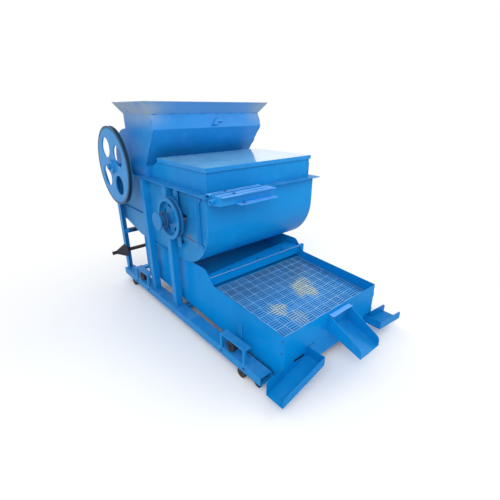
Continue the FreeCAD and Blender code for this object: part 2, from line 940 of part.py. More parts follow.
def make_concave():
    """The slotted grate under the drum: ribs bent to an arc, with straight bars let into them."""
    middle = FreeCAD.Vector(0, float(station(d.drum_station)), float(d.drum_level))
    along = FreeCAD.Vector(1, 0, 0)
    inner = float(d.concave_radius)
    outer = inner + float(d.concave_depth)
    end = float(d.concave_end_angle)
    half = float(side_inner)
    rib = float(d.concave_rib)
    count = int(float(d.concave_ribs))
    ribs = []
    for index in range(count):
        x = -half + (2 * half - rib) * index / (count - 1)
        start = FreeCAD.Vector(x, middle.y, middle.z)
        sweep = HALF_TURN - 2 * end
        ring = Part.makeCylinder(outer, rib, start, along, sweep)
        hole = Part.makeCylinder(inner, rib, start, along, sweep)
        arc = ring.cut(hole).Solids[0]
        arc.rotate(start, along, bottom_turn(arc, start))
        ribs.append(arc)
    bars = []
    size = float(d.concave_bar)
    number = int(float(d.concave_bars))
    for index in range(number):
        angle = end + (HALF_TURN - 2 * end) * (index + 0.5) / number
        corner = FreeCAD.Vector(-half, -size / 2, inner - float(d.concave_proud))
        bar = Part.makeBox(2 * half, size, size, corner)
        bar.rotate(FreeCAD.Vector(0, 0, 0), along, QUARTER_TURN + angle)
        bar.translate(FreeCAD.Vector(0, middle.y, middle.z))
        bars.append(bar)
    grate = ribs[0].multiFuse(ribs[1:] + bars)
    solid_feature("concave", grate.removeSplitter())


def bottom_turn(arc, start):
    """Give the turn about the shaft that brings the middle of an arc straight below it."""
    probe = arc.CenterOfMass - start
    here = math.degrees(math.atan2(probe.z, probe.y))
    return -QUARTER_TURN - here


def make_drum():
    """Drum shaft, spiders, beater bars, bearings and the big pulley."""
    shoulder = d.drum_shaft_right - d.shaft_end_length
    shaft = rod((-d.side_reach, shoulder), d.drum_station, d.drum_level, d.drum_shaft_radius)
    end = rod((shoulder, d.drum_shaft_right), d.drum_station, d.drum_level, d.shaft_end_radius)
    key = block(
        (-d.pulley_face - d.pulley_hub_reach, -d.pulley_face - d.pulley_hub_reach + d.key_length),
        (d.drum_station - d.key_width / 2, d.drum_station + d.key_width / 2),
        (d.drum_level, d.drum_level + d.drum_shaft_radius + d.key_width / 2),
    )
    name(join(shaft, end, key), "drum_shaft")
    bar_inner = d.drum_radius - d.beater_height
    spiders = []
    arms = int(float(d.rotor_arms))
    for place_share in (-1, 0, 1):
        x = d.spider_span * place_share
        across = (x - d.spider_hub_width / 2, x + d.spider_hub_width / 2)
        parts = [rod(across, d.drum_station, d.drum_level, d.spider_hub_radius)]
        for turn in range(arms):
            arm = doc.addObject("Part::Box", "Arm")
            arm.setExpression("Length", d.spider_wall.formula)
            arm.setExpression("Width", d.spider_arm.formula)
            arm.setExpression("Height", bar_inner.formula)
            place(arm, x - d.spider_wall / 2, -d.spider_arm / 2, 0)
            parts.append(spun(arm, d.drum_station, d.drum_level, FULL_TURN / arms * turn))
        bore_x = (across[0] - d.overrun, across[1] + d.overrun)
        bore = rod(bore_x, d.drum_station, d.drum_level, d.drum_shaft_radius + d.bearing_clearance)
        spiders.append(cut(join(*parts), bore))
    name(group(*spiders), "rotor_spiders")
    bars = []
    for turn in range(arms):
        bar = doc.addObject("Part::Box", "Beater")
        bar.setExpression("Length", ((side_inner - d.beater_width / 2) * 2).formula)
        bar.setExpression("Width", d.beater_width.formula)
        bar.setExpression("Height", d.beater_height.formula)
        place(bar, -(side_inner - d.beater_width / 2), -d.beater_width / 2, bar_inner)
        bars.append(spun(bar, d.drum_station, d.drum_level, FULL_TURN / arms * turn))
    name(group(*bars), "beater_bars")
    name(group(drum_bearing(-1), drum_bearing(1)), "drum_bearings")
    make_drum_pulley()


def drum_bearing(side):
    """A pillow block that stands on the top angle beside the hopper wall."""
    near = d.half_width + d.bearing_gap
    across = span(side, near, near + d.bearing_width)
    half = d.bearing_base_length / 2
    foot = block(
        across,
        (d.drum_station - half, d.drum_station + half),
        (d.top_level, d.top_level + d.bearing_base_height),
    )
    boss = rod(across, d.drum_station, d.drum_level, d.bearing_boss_radius)
    pillar = block(
        across,
        (d.drum_station - d.bearing_boss_radius, d.drum_station + d.bearing_boss_radius),
        (d.top_level + d.bearing_base_height, d.drum_level),
    )
    bore_x = (across[0] - d.overrun, across[1] + d.overrun)
    bore = rod(bore_x, d.drum_station, d.drum_level, d.drum_shaft_radius + d.bearing_clearance)
    return cut(join(foot, boss, pillar), bore)


def groove(start, width, radius):
    """Give the points of one belt groove from its far lip to its near lip."""
    slant = (d.groove_top - d.groove_bottom) / 2
    edge = (width - d.groove_top) / 2
    return [
        (start + width - edge, radius),
        (start + width - edge - slant, radius - d.groove_depth),
        (start + edge + slant, radius - d.groove_depth),
        (start + edge, radius),
    ]


def make_drum_pulley():
    """The big two groove pulley with four oval windows in its web."""
    width = d.pulley_width
    web = d.pulley_web
    rim_inner = d.pulley_radius - d.pulley_rim
    hub = d.pulley_hub_radius
    reach = d.pulley_hub_reach
    profile = [
        (-reach, d.drum_shaft_radius),
        (width, d.drum_shaft_radius),
        (width, hub),
        (web, hub),
        (web, rim_inner),
        (width, rim_inner),
        (width, d.pulley_radius),
    ]
    profile += groove(sized(0), width, d.pulley_radius)
    profile += [
        (0, d.pulley_radius),
        (0, hub),
        (-reach, hub),
    ]
    wheel = turned(profile, -d.pulley_face, d.drum_station, d.drum_level)
    across = (-d.pulley_face - d.overrun, -d.pulley_face + width + d.overrun)
    count = int(float(d.window_count))
    step = FULL_TURN / count
    windows = []
    for turn in range(count):
        angle = step * (turn + 0.5) + float(d.window_turn)
        window = (d.window_place, d.window_long, d.window_short)
        windows.append(oval(across, *window, angle, d.drum_station, d.drum_level))
    way = block(
        (-d.pulley_face - reach - d.overrun, -d.pulley_face + width + d.overrun),
        (d.drum_station - d.key_width / 2, d.drum_station + d.key_width / 2),
        (d.drum_level, d.drum_level + d.drum_shaft_radius + d.key_width / 2),
    )
    name(cut(wheel, way, *windows), "drum_pulley")


def make_fan():
    """Fan shaft, blade spiders, blades, bearings, pulleys and their bridges."""
    name(rod((-d.side_reach, d.fan_shaft_right), d.fan_station, d.fan_level, d.fan_shaft_radius), "fan_shaft")
    spiders = []
    count = int(float(d.blade_count))
    for place_share in (-1, 0, 1):
        x = d.fan_spider_span * place_share
        half = d.blade_arm / 2
        across = (x - half, x + half)
        parts = [rod(across, d.fan_station, d.fan_level, d.fan_hub_radius)]
        for turn in range(count):
            arm = doc.addObject("Part::Box", "Arm")
            arm.setExpression("Length", d.blade_arm.formula)
            arm.setExpression("Width", d.blade_arm_wall.formula)
            arm.setExpression("Height", (d.blade_tip * d.blade_arm_share).formula)
            place(arm, across[0], -d.blade_arm_wall, 0)
            parts.append(spun(arm, d.fan_station, d.fan_level, FULL_TURN / count * turn))
        bore_x = (across[0] - d.overrun, across[1] + d.overrun)
        bore = rod(bore_x, d.fan_station, d.fan_level, d.fan_shaft_radius)
        spiders.append(cut(join(*parts), bore))
    name(group(*spiders), "fan_spiders")
    blades = []
    for turn in range(count):
        blade = doc.addObject("Part::Box", "Blade")
        blade.setExpression("Length", (d.blade_half_width * 2).formula)
        blade.setExpression("Width", d.sheet.formula)
        blade.setExpression("Height", (d.blade_tip - d.blade_root).formula)
        place(blade, -d.blade_half_width, 0, d.blade_root)
        blades.append(spun(blade, d.fan_station, d.fan_level, FULL_TURN / count * turn))
    name(group(*blades), "fan_blades")
    name(group(bearing_bridge(-1), bearing_bridge(1)), "bearing_bridges")
    name(group(fan_bearing(-1), fan_bearing(1)), "fan_bearings")
    make_fan_pulley()
    make_step_pulley()


def bearing_bridge(side):
    """An upright strip across the air inlet that carries the fan bearing."""
    inner = d.bridge_outer - d.bridge_wall
    half = d.bridge_width / 2
    across = span(side, inner, d.bridge_outer)
    run = (d.fan_station - half, d.fan_station + half)
    strip = block(across, run, (d.bridge_foot, d.top_level - d.angle_wall))
    foot = block(span(side, d.half_width, inner), run, (d.bridge_foot, d.bridge_foot + d.bridge_foot_height))
    hole_x = (across[0] - d.overrun, across[1] + d.overrun)
    hole = rod(hole_x, d.fan_station, d.fan_level, d.fan_shaft_radius + d.angle_wall / 2)
    return cut(join(strip, foot), hole)


def fan_bearing(side):
    """A flange bearing bolted to the bridge."""
    half = d.bridge_width / 2
    run = (d.fan_station - half, d.fan_station + half)
    across = span(side, d.bridge_outer, d.bridge_outer + d.fan_bearing_width)
    boss = rod(across, d.fan_station, d.fan_level, d.fan_bearing_radius)
    flange_x = span(side, d.bridge_outer, d.bridge_outer + d.fan_bearing_width / 2)
    reach = d.fan_bearing_radius * d.fan_flange_share
    level = (d.fan_level - reach, d.fan_level + reach)
    flange = block(flange_x, run, level)
    bore_x = (across[0] - d.overrun, across[1] + d.overrun)
    bore = rod(bore_x, d.fan_station, d.fan_level, d.fan_shaft_radius + d.bearing_clearance)
    return cut(join(boss, flange), bore)


def make_fan_pulley():
    """The grooved fan pulley, dished on its outer face, with five slots in the web."""
    width = d.fan_pulley_width
    rim_inner = d.fan_pulley_radius - d.fan_pulley_rim
    hub = d.fan_hub_radius
    profile = [
        (0, d.fan_shaft_radius),
        (width, d.fan_shaft_radius),
        (width, d.fan_pulley_radius),
    ]
    profile += groove(sized(0), width, d.fan_pulley_radius)
    profile += [
        (0, d.fan_pulley_radius),
        (0, rim_inner),
        (width - d.fan_pulley_web, rim_inner),
        (width - d.fan_pulley_web, hub),
        (0, hub),
    ]
    face = d.fan_pulley_inner + width
    wheel = turned(profile, -face, d.fan_station, d.fan_level)
    across = (-face - d.overrun, -d.fan_pulley_inner + d.overrun)
    count = int(float(d.slot_count))
    slots = []
    for turn in range(count):
        angle = FULL_TURN / count * turn
        slots.append(oval(across, d.slot_place, d.slot_long, d.slot_short, angle, d.fan_station, d.fan_level))
    name(cut(wheel, *slots), "fan_pulley")


def make_step_pulley():
    """The small grooved pulley at the end of the fan shaft."""
    face = d.side_reach
    inner = d.fan_pulley_inner + d.fan_pulley_width
    count = int(float(d.step_grooves))
    profile = [(-face, d.fan_shaft_radius), (-inner, d.fan_shaft_radius)]
    run = (face - inner - d.step_disc) / count
    for index in range(count):
        near = inner + run * index
        floor_end = near + run * d.step_groove_share
        profile += [
            (-near, d.step_groove_radius),
            (-floor_end, d.step_groove_radius),
            (-floor_end, d.step_land_radius),
            (-near - run, d.step_land_radius),
        ]
    profile[-2:] = [
        (-face + d.step_disc, d.step_groove_radius),
        (-face + d.step_disc, d.step_pulley_radius),
        (-face, d.step_pulley_radius),
    ]
    name(turned(profile, 0, d.fan_station, d.fan_level), "step_pulley")


def make_shutters():
    """Sliding plates that choke the air inlets, with their guides on the side plates."""
    guides = []
    for side, word in ((-1, "left"), (1, "right")):
        near = d.half_width + d.sheet
        across = span(side, near, near + d.sheet)
        rear = d.shutter_front + d.shutter_length
        plate = block(across, (d.shutter_front, rear), (d.shutter_bottom, d.shutter_top))
        notch = block(
            (across[0] - d.overrun, across[1] + d.overrun),
            (rear - d.shutter_notch, rear + d.overrun),
            (d.fan_level - d.shutter_notch_half, d.fan_level + d.shutter_notch_half),
        )
        grip = block(
            span(side, near + d.sheet, near + d.sheet + d.shutter_handle),
            (d.shutter_front, d.shutter_front + d.sheet),
            (d.shutter_bottom + d.guide_lip * 2, d.shutter_top - d.guide_lip * 2),
        )
        name(join(cut(plate, notch), grip), f"{word}_shutter")
        run = (d.guide_front, d.guide_rear)
        outer = near + d.sheet + d.slide_clearance
        base = span(side, d.half_width, outer + d.sheet)
        lip = span(side, outer, outer + d.sheet)
        floor = d.shutter_bottom - d.seat_gap
        ceiling = d.shutter_top + d.slide_clearance
        low_base = block(base, run, (floor - d.guide_base, floor))
        low_lip = block(lip, run, (floor, floor + d.guide_lip))
        high_base = block(base, run, (ceiling, ceiling + d.guide_base))
        high_lip = block(lip, run, (ceiling - d.guide_lip, ceiling))
        guides += [join(low_base, low_lip), join(high_base, high_lip)]
    name(group(*guides), "shutter_guides")


def make_cover():
    """The open box above the fan and its lid on two hinges."""
    half = d.box_half_width
    outer = block((-half, half), (d.box_front, d.box_rear), (d.top_level, d.box_top))
    inner = block(
        (-half + d.sheet, half - d.sheet),
        (d.box_front + d.sheet, d.box_rear - d.sheet),
        (d.top_level - d.overrun, d.box_top + d.overrun),
    )
    cheeks = []
    for side in (-1, 1):
        near, _ = span(side, half - d.sheet, half)
        outline = [
            (d.box_rear - d.sheet, d.top_level),
            (d.slope_foot_station, d.top_level),
            (d.box_tail_station, d.box_tail_level),
            (d.box_rear, d.box_top),
            (d.box_rear - d.sheet, d.box_top),
        ]
        cheeks.append(side_sheet(near, outline))
    shelf = block(
        (-half + d.sheet, half - d.sheet),
        (d.box_rear, d.slope_foot_station),
        (d.top_level, d.top_level + d.sheet),
    )
    name(join(cut(outer, inner), *cheeks, shelf), "cover_box")
    wide = d.lid_half_width
    rear = d.box_rear
    floor = d.box_top + d.seat_gap
    top = block((-wide, wide), (d.lid_front, rear), (d.lid_top - d.sheet, d.lid_top))
    lip_bottom = d.box_top - d.sheet * 2
    front = block((-wide, wide), (d.lid_front, d.lid_front + d.sheet), (lip_bottom, d.lid_top))
    lips = (span(side, wide - d.sheet, wide) for side in (-1, 1))
    sides = [block(lip, (d.lid_front, rear), (lip_bottom, d.lid_top)) for lip in lips]
    rest = block(
        (-half + d.sheet, half - d.sheet),
        (d.box_front, d.box_front + d.sheet * 2),
        (floor, d.lid_top - d.sheet),
    )
    knuckle = d.hinge_length / d.hinge_knuckles
    lid_parts = [top, front, rest] + sides
    hinges = []
    for side in (-1, 1):
        middle = d.hinge_span * side
        left = middle - d.hinge_length / 2
        centre = knuckle + left
        barrel = rod((centre, centre + knuckle), rear + d.hinge_radius, hinge_level(), d.hinge_radius)
        bore_x = (centre - d.overrun, centre + knuckle + d.overrun)
        bore = rod(bore_x, rear + d.hinge_radius, hinge_level(), d.hinge_pin_radius + d.bearing_clearance)
        tongue = block(
            (centre, centre + knuckle),
            (rear - d.hinge_radius, rear + d.hinge_radius),
            (d.lid_top - d.sheet, d.lid_top),
        )
        lid_parts += [cut(barrel, bore), tongue]
        pieces = []
        for start in (left, left + knuckle * 2):
            eye_x = (start + d.slide_clearance, start + knuckle - d.slide_clearance)
            eye = rod(eye_x, rear + d.hinge_radius, hinge_level(), d.hinge_radius)
            leaf = block(
                eye_x,
                (rear, rear + d.hinge_radius),
                (d.box_top - d.hinge_length / 2, hinge_level()),
            )
            pieces += [eye, leaf]
        pin = rod((left, left + d.hinge_length), rear + d.hinge_radius, hinge_level(), d.hinge_pin_radius)
        hinges.append(join(pin, *pieces))
    name(join(*lid_parts), "cover_lid")
    name(group(*hinges), "lid_hinges")


def hinge_level():
    """Give the level of the lid's hinge pins."""
    return d.lid_top - d.hinge_radius


def slotted_rail(across, run, level, slots, hole):
    """Make a flat rail with slots along X and one round hole, centred in its width."""
    rail = block(across, run, level)
    middle = (run[0] + run[1]) / 2
    reach = (level[0] - d.overrun, level[1] + d.overrun)
    tools = [stud(hole, middle, reach, d.bolt_radius + d.bearing_clearance)]
    for centre, length in slots:
        half = length / 2 - d.motor_slot_radius
        slot_run = (middle - d.motor_slot_radius, middle + d.motor_slot_radius)
        ends = [stud(centre + shift, middle, reach, d.motor_slot_radius) for shift in (-half, half)]
        tools.append(join(block((centre - half, centre + half), slot_run, reach), *ends))
    return cut(rail, *tools)


def make_motor_mount():
    """Two slotted rails ahead of the casing, a lower slotted ledge, gussets and the pivot tube."""
    wall = d.motor_rail_wall
    half = d.motor_slot_spacing / 2
    slots = [(-d.motor_slot_place + shift, d.motor_slot_length) for shift in (-half, half)]
    level = (d.motor_level - wall, d.motor_level)
    rear_x = (-d.motor_rear_left, -d.motor_rear_right)
    half = d.motor_rear_width / 2
    rear_run = (d.motor_rear_station - half, d.motor_rear_station + half)
    rail = slotted_rail(rear_x, rear_run, level, slots, -d.motor_bolt_place)
    leg_runs = ((rear_run[0], rear_run[0] + wall), (rear_run[1] - wall, rear_run[1]))
    legs = [block(rear_x, run, (d.top_level, level[0])) for run in leg_runs]
    name(join(rail, *legs), "motor_rear_rail")
    front_x = (-d.motor_front_left, -d.motor_front_right)
    half = d.motor_front_width / 2
    front_run = (d.motor_front_station - half, d.motor_front_station + half)
    rail = slotted_rail(front_x, front_run, level, slots, -d.motor_bolt_place)
    low_level = d.motor_level - d.motor_apron
    low_run = (d.motor_low_front, d.motor_low_front + d.motor_low_width)
    apron = block(front_x, (low_run[1] - wall, low_run[1]), (low_level, level[0]))
    name(join(rail, apron), "motor_front_rail")
    low_x = (-d.motor_low_left, -d.motor_front_right)
    low_slots = [(-d.low_slot_place, d.low_slot_length)]
    low = slotted_rail(low_x, low_run, (low_level - wall, low_level), low_slots, -d.low_bolt_place)
    name(low, "motor_low_rail")
    tube_x = (-d.motor_front_left - d.pivot_tube_overhang, -d.motor_front_right + d.pivot_tube_overhang)
    tube = rod(tube_x, d.pivot_tube_station, d.pivot_tube_level, d.pivot_tube_radius)
    bore_x = (tube_x[0] - d.overrun, tube_x[1] + d.overrun)
    bore = rod(bore_x, d.pivot_tube_station, d.pivot_tube_level, d.pivot_tube_bore)
    pieces = [cut(tube, bore)]
    edge = d.side_front - d.flange_reach
    middle = (front_x[0] + front_x[1]) / 2
    outline = [
        (low_run[1], level[0]),
        (rear_run[0], level[0]),
        (rear_run[0], d.top_level),
        (edge, d.top_level),
        (edge, d.top_level - d.angle_wall),
        (d.side_front, d.top_level - d.angle_wall),
        (d.side_front, level[0] - d.gusset_depth),
        (low_run[1], low_level),
    ]
    hole = ((d.pivot_tube_station, d.pivot_tube_level), d.pivot_tube_radius)
    for x in (front_x[0], middle - wall / 2, front_x[1] - wall):
        pieces.append(side_sheet(x, outline, wall, [hole]))
    name(group(*pieces), "motor_gussets")
    places = (
        (-d.motor_bolt_place, d.motor_rear_station, d.motor_level),
        (-d.motor_bolt_place, d.motor_front_station, d.motor_level),
        (-d.low_bolt_place, (low_run[0] + low_run[1]) / 2, low_level),
    )
    return [bolt_down(*spot) for spot in places]


def bolt_down(x, middle, face):
    """Make a bolt whose head stands on a level face and whose shank hangs below it."""
    head = hexagon(d.bolt_head_radius, d.bolt_head_height, (x, middle, face))
    shank = stud(x, middle, (face - d.bolt_length, face), d.bolt_radius)
    return join(head, shank)


def tray_floor(distance):
    """Give the level of the tray's bottom edge at a station."""
    return d.tray_front_bottom + (d.tray_rear_bottom - d.tray_front_bottom) * distance / d.tray_rear


def sieve_level(distance):
    """Give the level of the top of the sieve at a station."""
    return d.sieve_front_level + d.sieve_slope * distance


def slope_sheet(x, width, start, end, level, thickness):
    """Make a sheet across the tray whose top follows a slope."""
    outline = [
        (start, level(start) - thickness),
        (end, level(end) - thickness),
        (end, level(end)),
        (start, level(start)),
    ]
    return side_sheet(x, outline, width)


def make_tray():
    """Walls, pan, sieve, deck, strips, bearers and the deflector of the shaker tray."""
    for side, word in ((-1, "left"), (1, "right")):
        near, _ = span(side, tray_inner, d.tray_half_width)
        outline = [
            (0, d.tray_front_bottom),
            (d.tray_rear, d.tray_rear_bottom),
            (d.tray_rear, d.tray_high_level),
            (d.tray_high_station, d.tray_high_level),
            (d.tray_knee_station, d.tray_knee_level),
            (0, d.tray_front_top),
        ]
        wall = side_sheet(near, outline)
        corners = [
            (station(d.tray_knee_station), d.tray_knee_level),
            (station(d.tray_high_station), d.tray_high_level),
            (station(d.tray_rear), d.tray_high_level),
        ]
        wall = rounded(wall, corners, d.tray_knee_round)
        if side > 0:
            wall = join(wall, side_tab())
        name(wall, f"tray_{word}_wall")
    inner = tray_inner
    outer = [
        (-inner, d.tray_front_bottom),
        (inner, d.tray_front_bottom),
        (inner, d.tray_front_top),
        (-inner, d.tray_front_top),
    ]
    mouth_x = (-d.chute_left + d.sheet, d.chute_right - d.sheet)
    mouth = rectangle(mouth_x, (d.chute_gate_bottom, d.chute_top - d.sheet))
    slot = rectangle((-d.slot_outer, -d.slot_inner), (d.slot_level, d.slot_level + d.slot_height))
    low = d.right_trough_high + d.sheet * 2
    outlet_x = (d.right_trough_start + d.sheet * 2, inner - d.sheet * 2)
    outlet = rectangle(outlet_x, (low, low + d.outlet_height))
    name(front_sheet(d.sheet, [outer, mouth, slot, outlet]), "tray_front_wall")
    rear = block(
        (-inner, inner),
        (d.tray_rear - d.sheet, d.tray_rear),
        (d.tray_rear_bottom, d.tray_rear_wall_top),
    )
    name(rear, "tray_rear_wall")

    def pan_level(distance):
        return tray_floor(distance) + d.pan_lift

    pan = slope_sheet(-inner, inner * 2, d.sheet, d.tray_rear - d.sheet, pan_level, d.sheet)
    name(pan, "tray_pan")
    make_sieve()
    deck = slope_sheet(-inner, inner * 2, d.sieve_end, d.tray_rear - d.sheet, sieve_level, d.sieve_wall)
    name(deck, "feed_deck")

    def strip_level(distance):
        return sieve_level(distance) + d.strip_wall

    strips = []
    for side in (-1, 1):
        near, _ = span(side, inner - d.strip_width, inner)
        run = (d.sheet, d.deflector_station)
        strips.append(slope_sheet(near, d.strip_width, *run, strip_level, d.strip_wall))
    bearers = []
    count = int(float(d.bearer_count))
    for index in range(count):
        start = d.bearer_margin + (d.sieve_end - d.bearer_margin * 2) * index / (count - 1)
        end = start + d.bearer_height / 2
        top = sieve_level(start) - d.sieve_wall
        rise = d.sieve_slope * (end - start)
        foot = top - d.bearer_height
        outline = [(start, foot), (end, foot), (end, top + rise), (start, top)]
        bearers.append(side_sheet(-inner, outline, inner * 2))
    name(group(*strips, *bearers), "sieve_frame")
    make_deflector()


def side_tab():
    """The rounded tab that the right wall carries at the end of the deflector."""
    across = (d.tray_half_width, d.tray_half_width + d.side_lug_reach)
    outline = rectangle(across, (d.side_lug_bottom, d.side_lug_top))
    tab = front_sheet(d.deflector_station + d.sheet, [outline])
    corners = [(across[1], d.side_lug_bottom), (across[1], d.side_lug_top)]
    return rounded(tab, corners, d.side_lug_round)


def make_deflector():
    """The bent sheet across the tray that turns the falling nuts forward, with its bolts."""
    inner = tray_inner
    front = station(d.deflector_station - d.deflector_nose)
    outline = [
        (-inner, front),
        (inner, front),
        (inner, station(d.deflector_station + d.deflector_right_depth)),
        (-inner, station(d.deflector_station + d.deflector_left_depth)),
    ]
    top = place(pad("XY_Plane", d.sheet, [outline]), z=d.deflector_level - d.sheet)
    face = block(
        (-inner, inner),
        (d.deflector_station, d.deflector_station + d.sheet),
        (d.deflector_bottom, d.deflector_level - d.sheet),
    )
    name(join(top, face), "deflector")
    middle = d.deflector_station + d.deflector_bolt_inset
    reach = inner * d.deflector_bolt_share
    heads = [
        hexagon(d.bolt_head_radius, d.bolt_head_height, (x, middle, d.deflector_level))
        for x in (-reach, 0, reach)
    ]
    name(group(*heads), "deflector_bolts")


def make_sieve():
    """The basket weave sieve: squares of parallel slots that change direction from square to square."""
    half = float(tray_inner)
    start = float(d.sheet)
    angle = math.atan(float(d.sieve_slope))
    length = (float(d.sieve_end) - start) / math.cos(angle)
    margin = float(d.sieve_margin)
    strip = float(d.strip_width)
    columns = int(float(d.sieve_columns))
    rows = int(float(d.sieve_rows))
    slots = int(float(d.sieve_slots))
    slot_share = float(d.sieve_slot_share)
    bridge = float(d.sieve_bridge)
    left = -half + strip + margin
    pitch_x = 2 * (half - strip - margin) / columns
    pitch_y = (length - 2 * margin) / rows
    outer = box_wire(-half, 0, half, length)
    holes = []
    for column in range(columns):
        for row_index in range(rows):
            x = left + pitch_x * column + bridge / 2
            y = margin + pitch_y * row_index + bridge / 2
            wide = pitch_x - bridge
            deep = pitch_y - bridge
            for index in range(slots):
                share = (index + 0.5) / slots
                if (column + row_index) % 2:
                    slot = wide / slots * slot_share / 2
                    middle = x + wide * share
                    holes.append(box_wire(middle - slot, y, middle + slot, y + deep))
                else:
                    slot = deep / slots * slot_share / 2
                    middle = y + deep * share
                    holes.append(box_wire(x, middle - slot, x + wide, middle + slot))
    face = Part.Face(outer).cut(Part.makeCompound([Part.Face(hole) for hole in holes])).Faces[0]
    face.rotate(FreeCAD.Vector(0, 0, 0), FreeCAD.Vector(1, 0, 0), math.degrees(angle))
    face.translate(FreeCAD.Vector(0, float(station(d.sheet)), float(sieve_level(d.sheet))))
    solid_feature("sieve", face.extrude(FreeCAD.Vector(0, 0, -float(d.sieve_wall))))


def box_wire(x_low, y_low, x_high, y_high):
    """Make a closed rectangle in the sieve's own plane."""
    spots = [(x_low, y_low), (x_high, y_low), (x_high, y_high), (x_low, y_high), (x_low, y_low)]
    return Part.makePolygon([FreeCAD.Vector(x, y, 0) for x, y in spots])


def make_chutes():
    """The centre chute and the two troughs below the tray's front wall."""
    left = -d.chute_left
    right = sized(d.chute_right)
    end = -d.chute_reach
    outline = [
        (0, d.chute_floor),
        (end, d.chute_end_floor),
        (end, d.chute_end_floor + d.sheet),
        (0, d.chute_floor + d.sheet),
    ]
    floor = side_sheet(left, outline, right - left)
    parts = [floor]
    for near in (left, right - d.sheet):
        outline = [
            (0, d.chute_floor),
            (end, d.chute_end_floor),
            (end, d.chute_end_floor + d.chute_end_wall),
            (0, d.chute_top),
        ]
        wall = side_sheet(near, outline)
        parts.append(rounded(wall, [(station(end), d.chute_end_floor + d.chute_end_wall)], d.chute_round))
    parts.append(block((left, right), (-d.chute_lip, 0), (d.chute_top - d.sheet, d.chute_top)))
    parts.append(block((left, right), (-d.sheet, 0), (d.chute_floor, d.chute_gate_bottom)))
    name(join(*parts), "centre_chute")
    run = (d.left_trough_start, d.left_trough_end)
    name(trough(-1, run, (d.left_trough_high, d.left_trough_low), d.left_trough_back), "left_trough")
    run = (d.right_trough_start, d.side_reach)
    name(trough(1, run, (d.right_trough_high, d.right_trough_low), d.right_trough_back), "right_trough")


def trough(side, run, levels, back_height):
    """A shallow trough ahead of the front wall that falls towards one side of the machine."""
    start, end = run
    high, low = levels

    def floor(distance):
        return high - (high - low) * (distance - start) / (end - start)

    def wall(back, first, tall):
        near = floor(first)
        outline = [(first, near), (end, low), (end, low + tall), (first, near + d.trough_wall)]
        sheet = front_sheet(back, [[(x * side, z) for x, z in outline]])
        return rounded(sheet, [(end * side, low + tall)], d.trough_round)

    corners = [(start, high), (end, low), (end, low + d.sheet), (start, high + d.sheet)]
    bottom = front_sheet(0, [[(x * side, z) for x, z in corners]], d.trough_depth)
    closing = block(span(side, start, start + d.sheet), (-d.trough_depth, 0), (high, high + d.trough_wall))
    back = wall(sized(0), d.tray_half_width, back_height)
    front = wall(-d.trough_depth + d.sheet, start, d.trough_wall)
    return join(bottom, back, front, closing)


def make_rollers(motor_bolts):
    """Roller brackets on the tray, rollers on stub axles and the guides on the rails."""
    inner = d.roller_outer - d.roller_width
    brackets = []
    for end_word, middle in (("front", d.front_roller_station), ("rear", d.rear_roller_station)):
        for side, word in ((-1, "left"), (1, "right")):
            half = d.strap_width / 2
            strap_x = span(side, d.tray_half_width, d.tray_half_width + d.strap_wall)
            low = roller_level - half
            strap = block(strap_x, (middle - half, middle + half), (low, roller_level + d.strap_rise))
            axle_x = span(side, d.tray_half_width + d.strap_wall, d.roller_outer + d.axle_radius)
            axle = rod(axle_x, middle, roller_level, d.axle_radius)
            brackets.append(join(strap, axle))
            wheel_x = span(side, inner, d.roller_outer)
            wheel = rod(wheel_x, middle, roller_level, d.roller_radius)
            bore_x = (wheel_x[0] - d.overrun, wheel_x[1] + d.overrun)
            bore = rod(bore_x, middle, roller_level, d.axle_radius + d.bearing_clearance)
            name(cut(wheel, bore), f"{end_word}_{word}_roller")
    name(group(*brackets), "roller_brackets")
    stations = (d.front_roller_station - d.guide_shift, d.rear_roller_station - d.guide_shift)
    guides = [roller_guide(side, middle) for side in (-1, 1) for middle in stations]
    name(group(*guides), "roller_guides")
    bolts = []
    for side in (-1, 1):
        for middle in stations:
            for shift in (-1, 1):
                spot = middle + (d.guide_half_length - d.guide_leg / 2) * shift
                level = d.foot_height + d.rail_height / 2
                turn = FreeCAD.Rotation(FreeCAD.Vector(0, 1, 0), QUARTER_TURN * side)
                head_spot = (d.rail_outer * side, spot, level)
                bolts.append(hexagon(d.bolt_head_radius, d.bolt_head_height, head_spot, turn))
    name(group(*bolts, *motor_bolts), "frame_bolts")


def roller_guide(side, middle):
    """A strap over one roller that stands on the rail on two legs."""
    half = d.guide_half_length
    outer = d.rail_outer
    bottom = d.guide_level - d.guide_wall
    top_x = span(side, outer - d.guide_reach, outer)
    parts = [block(top_x, (middle - half, middle + half), (bottom, d.guide_level))]
    for shift in (-1, 1):
        centre = middle + (half - d.guide_leg / 2) * shift
        run = (centre - d.guide_leg / 2, centre + d.guide_leg / 2)
        parts.append(block(span(side, outer - d.guide_leg, outer), run, (rail_top, bottom)))
    return join(*parts)


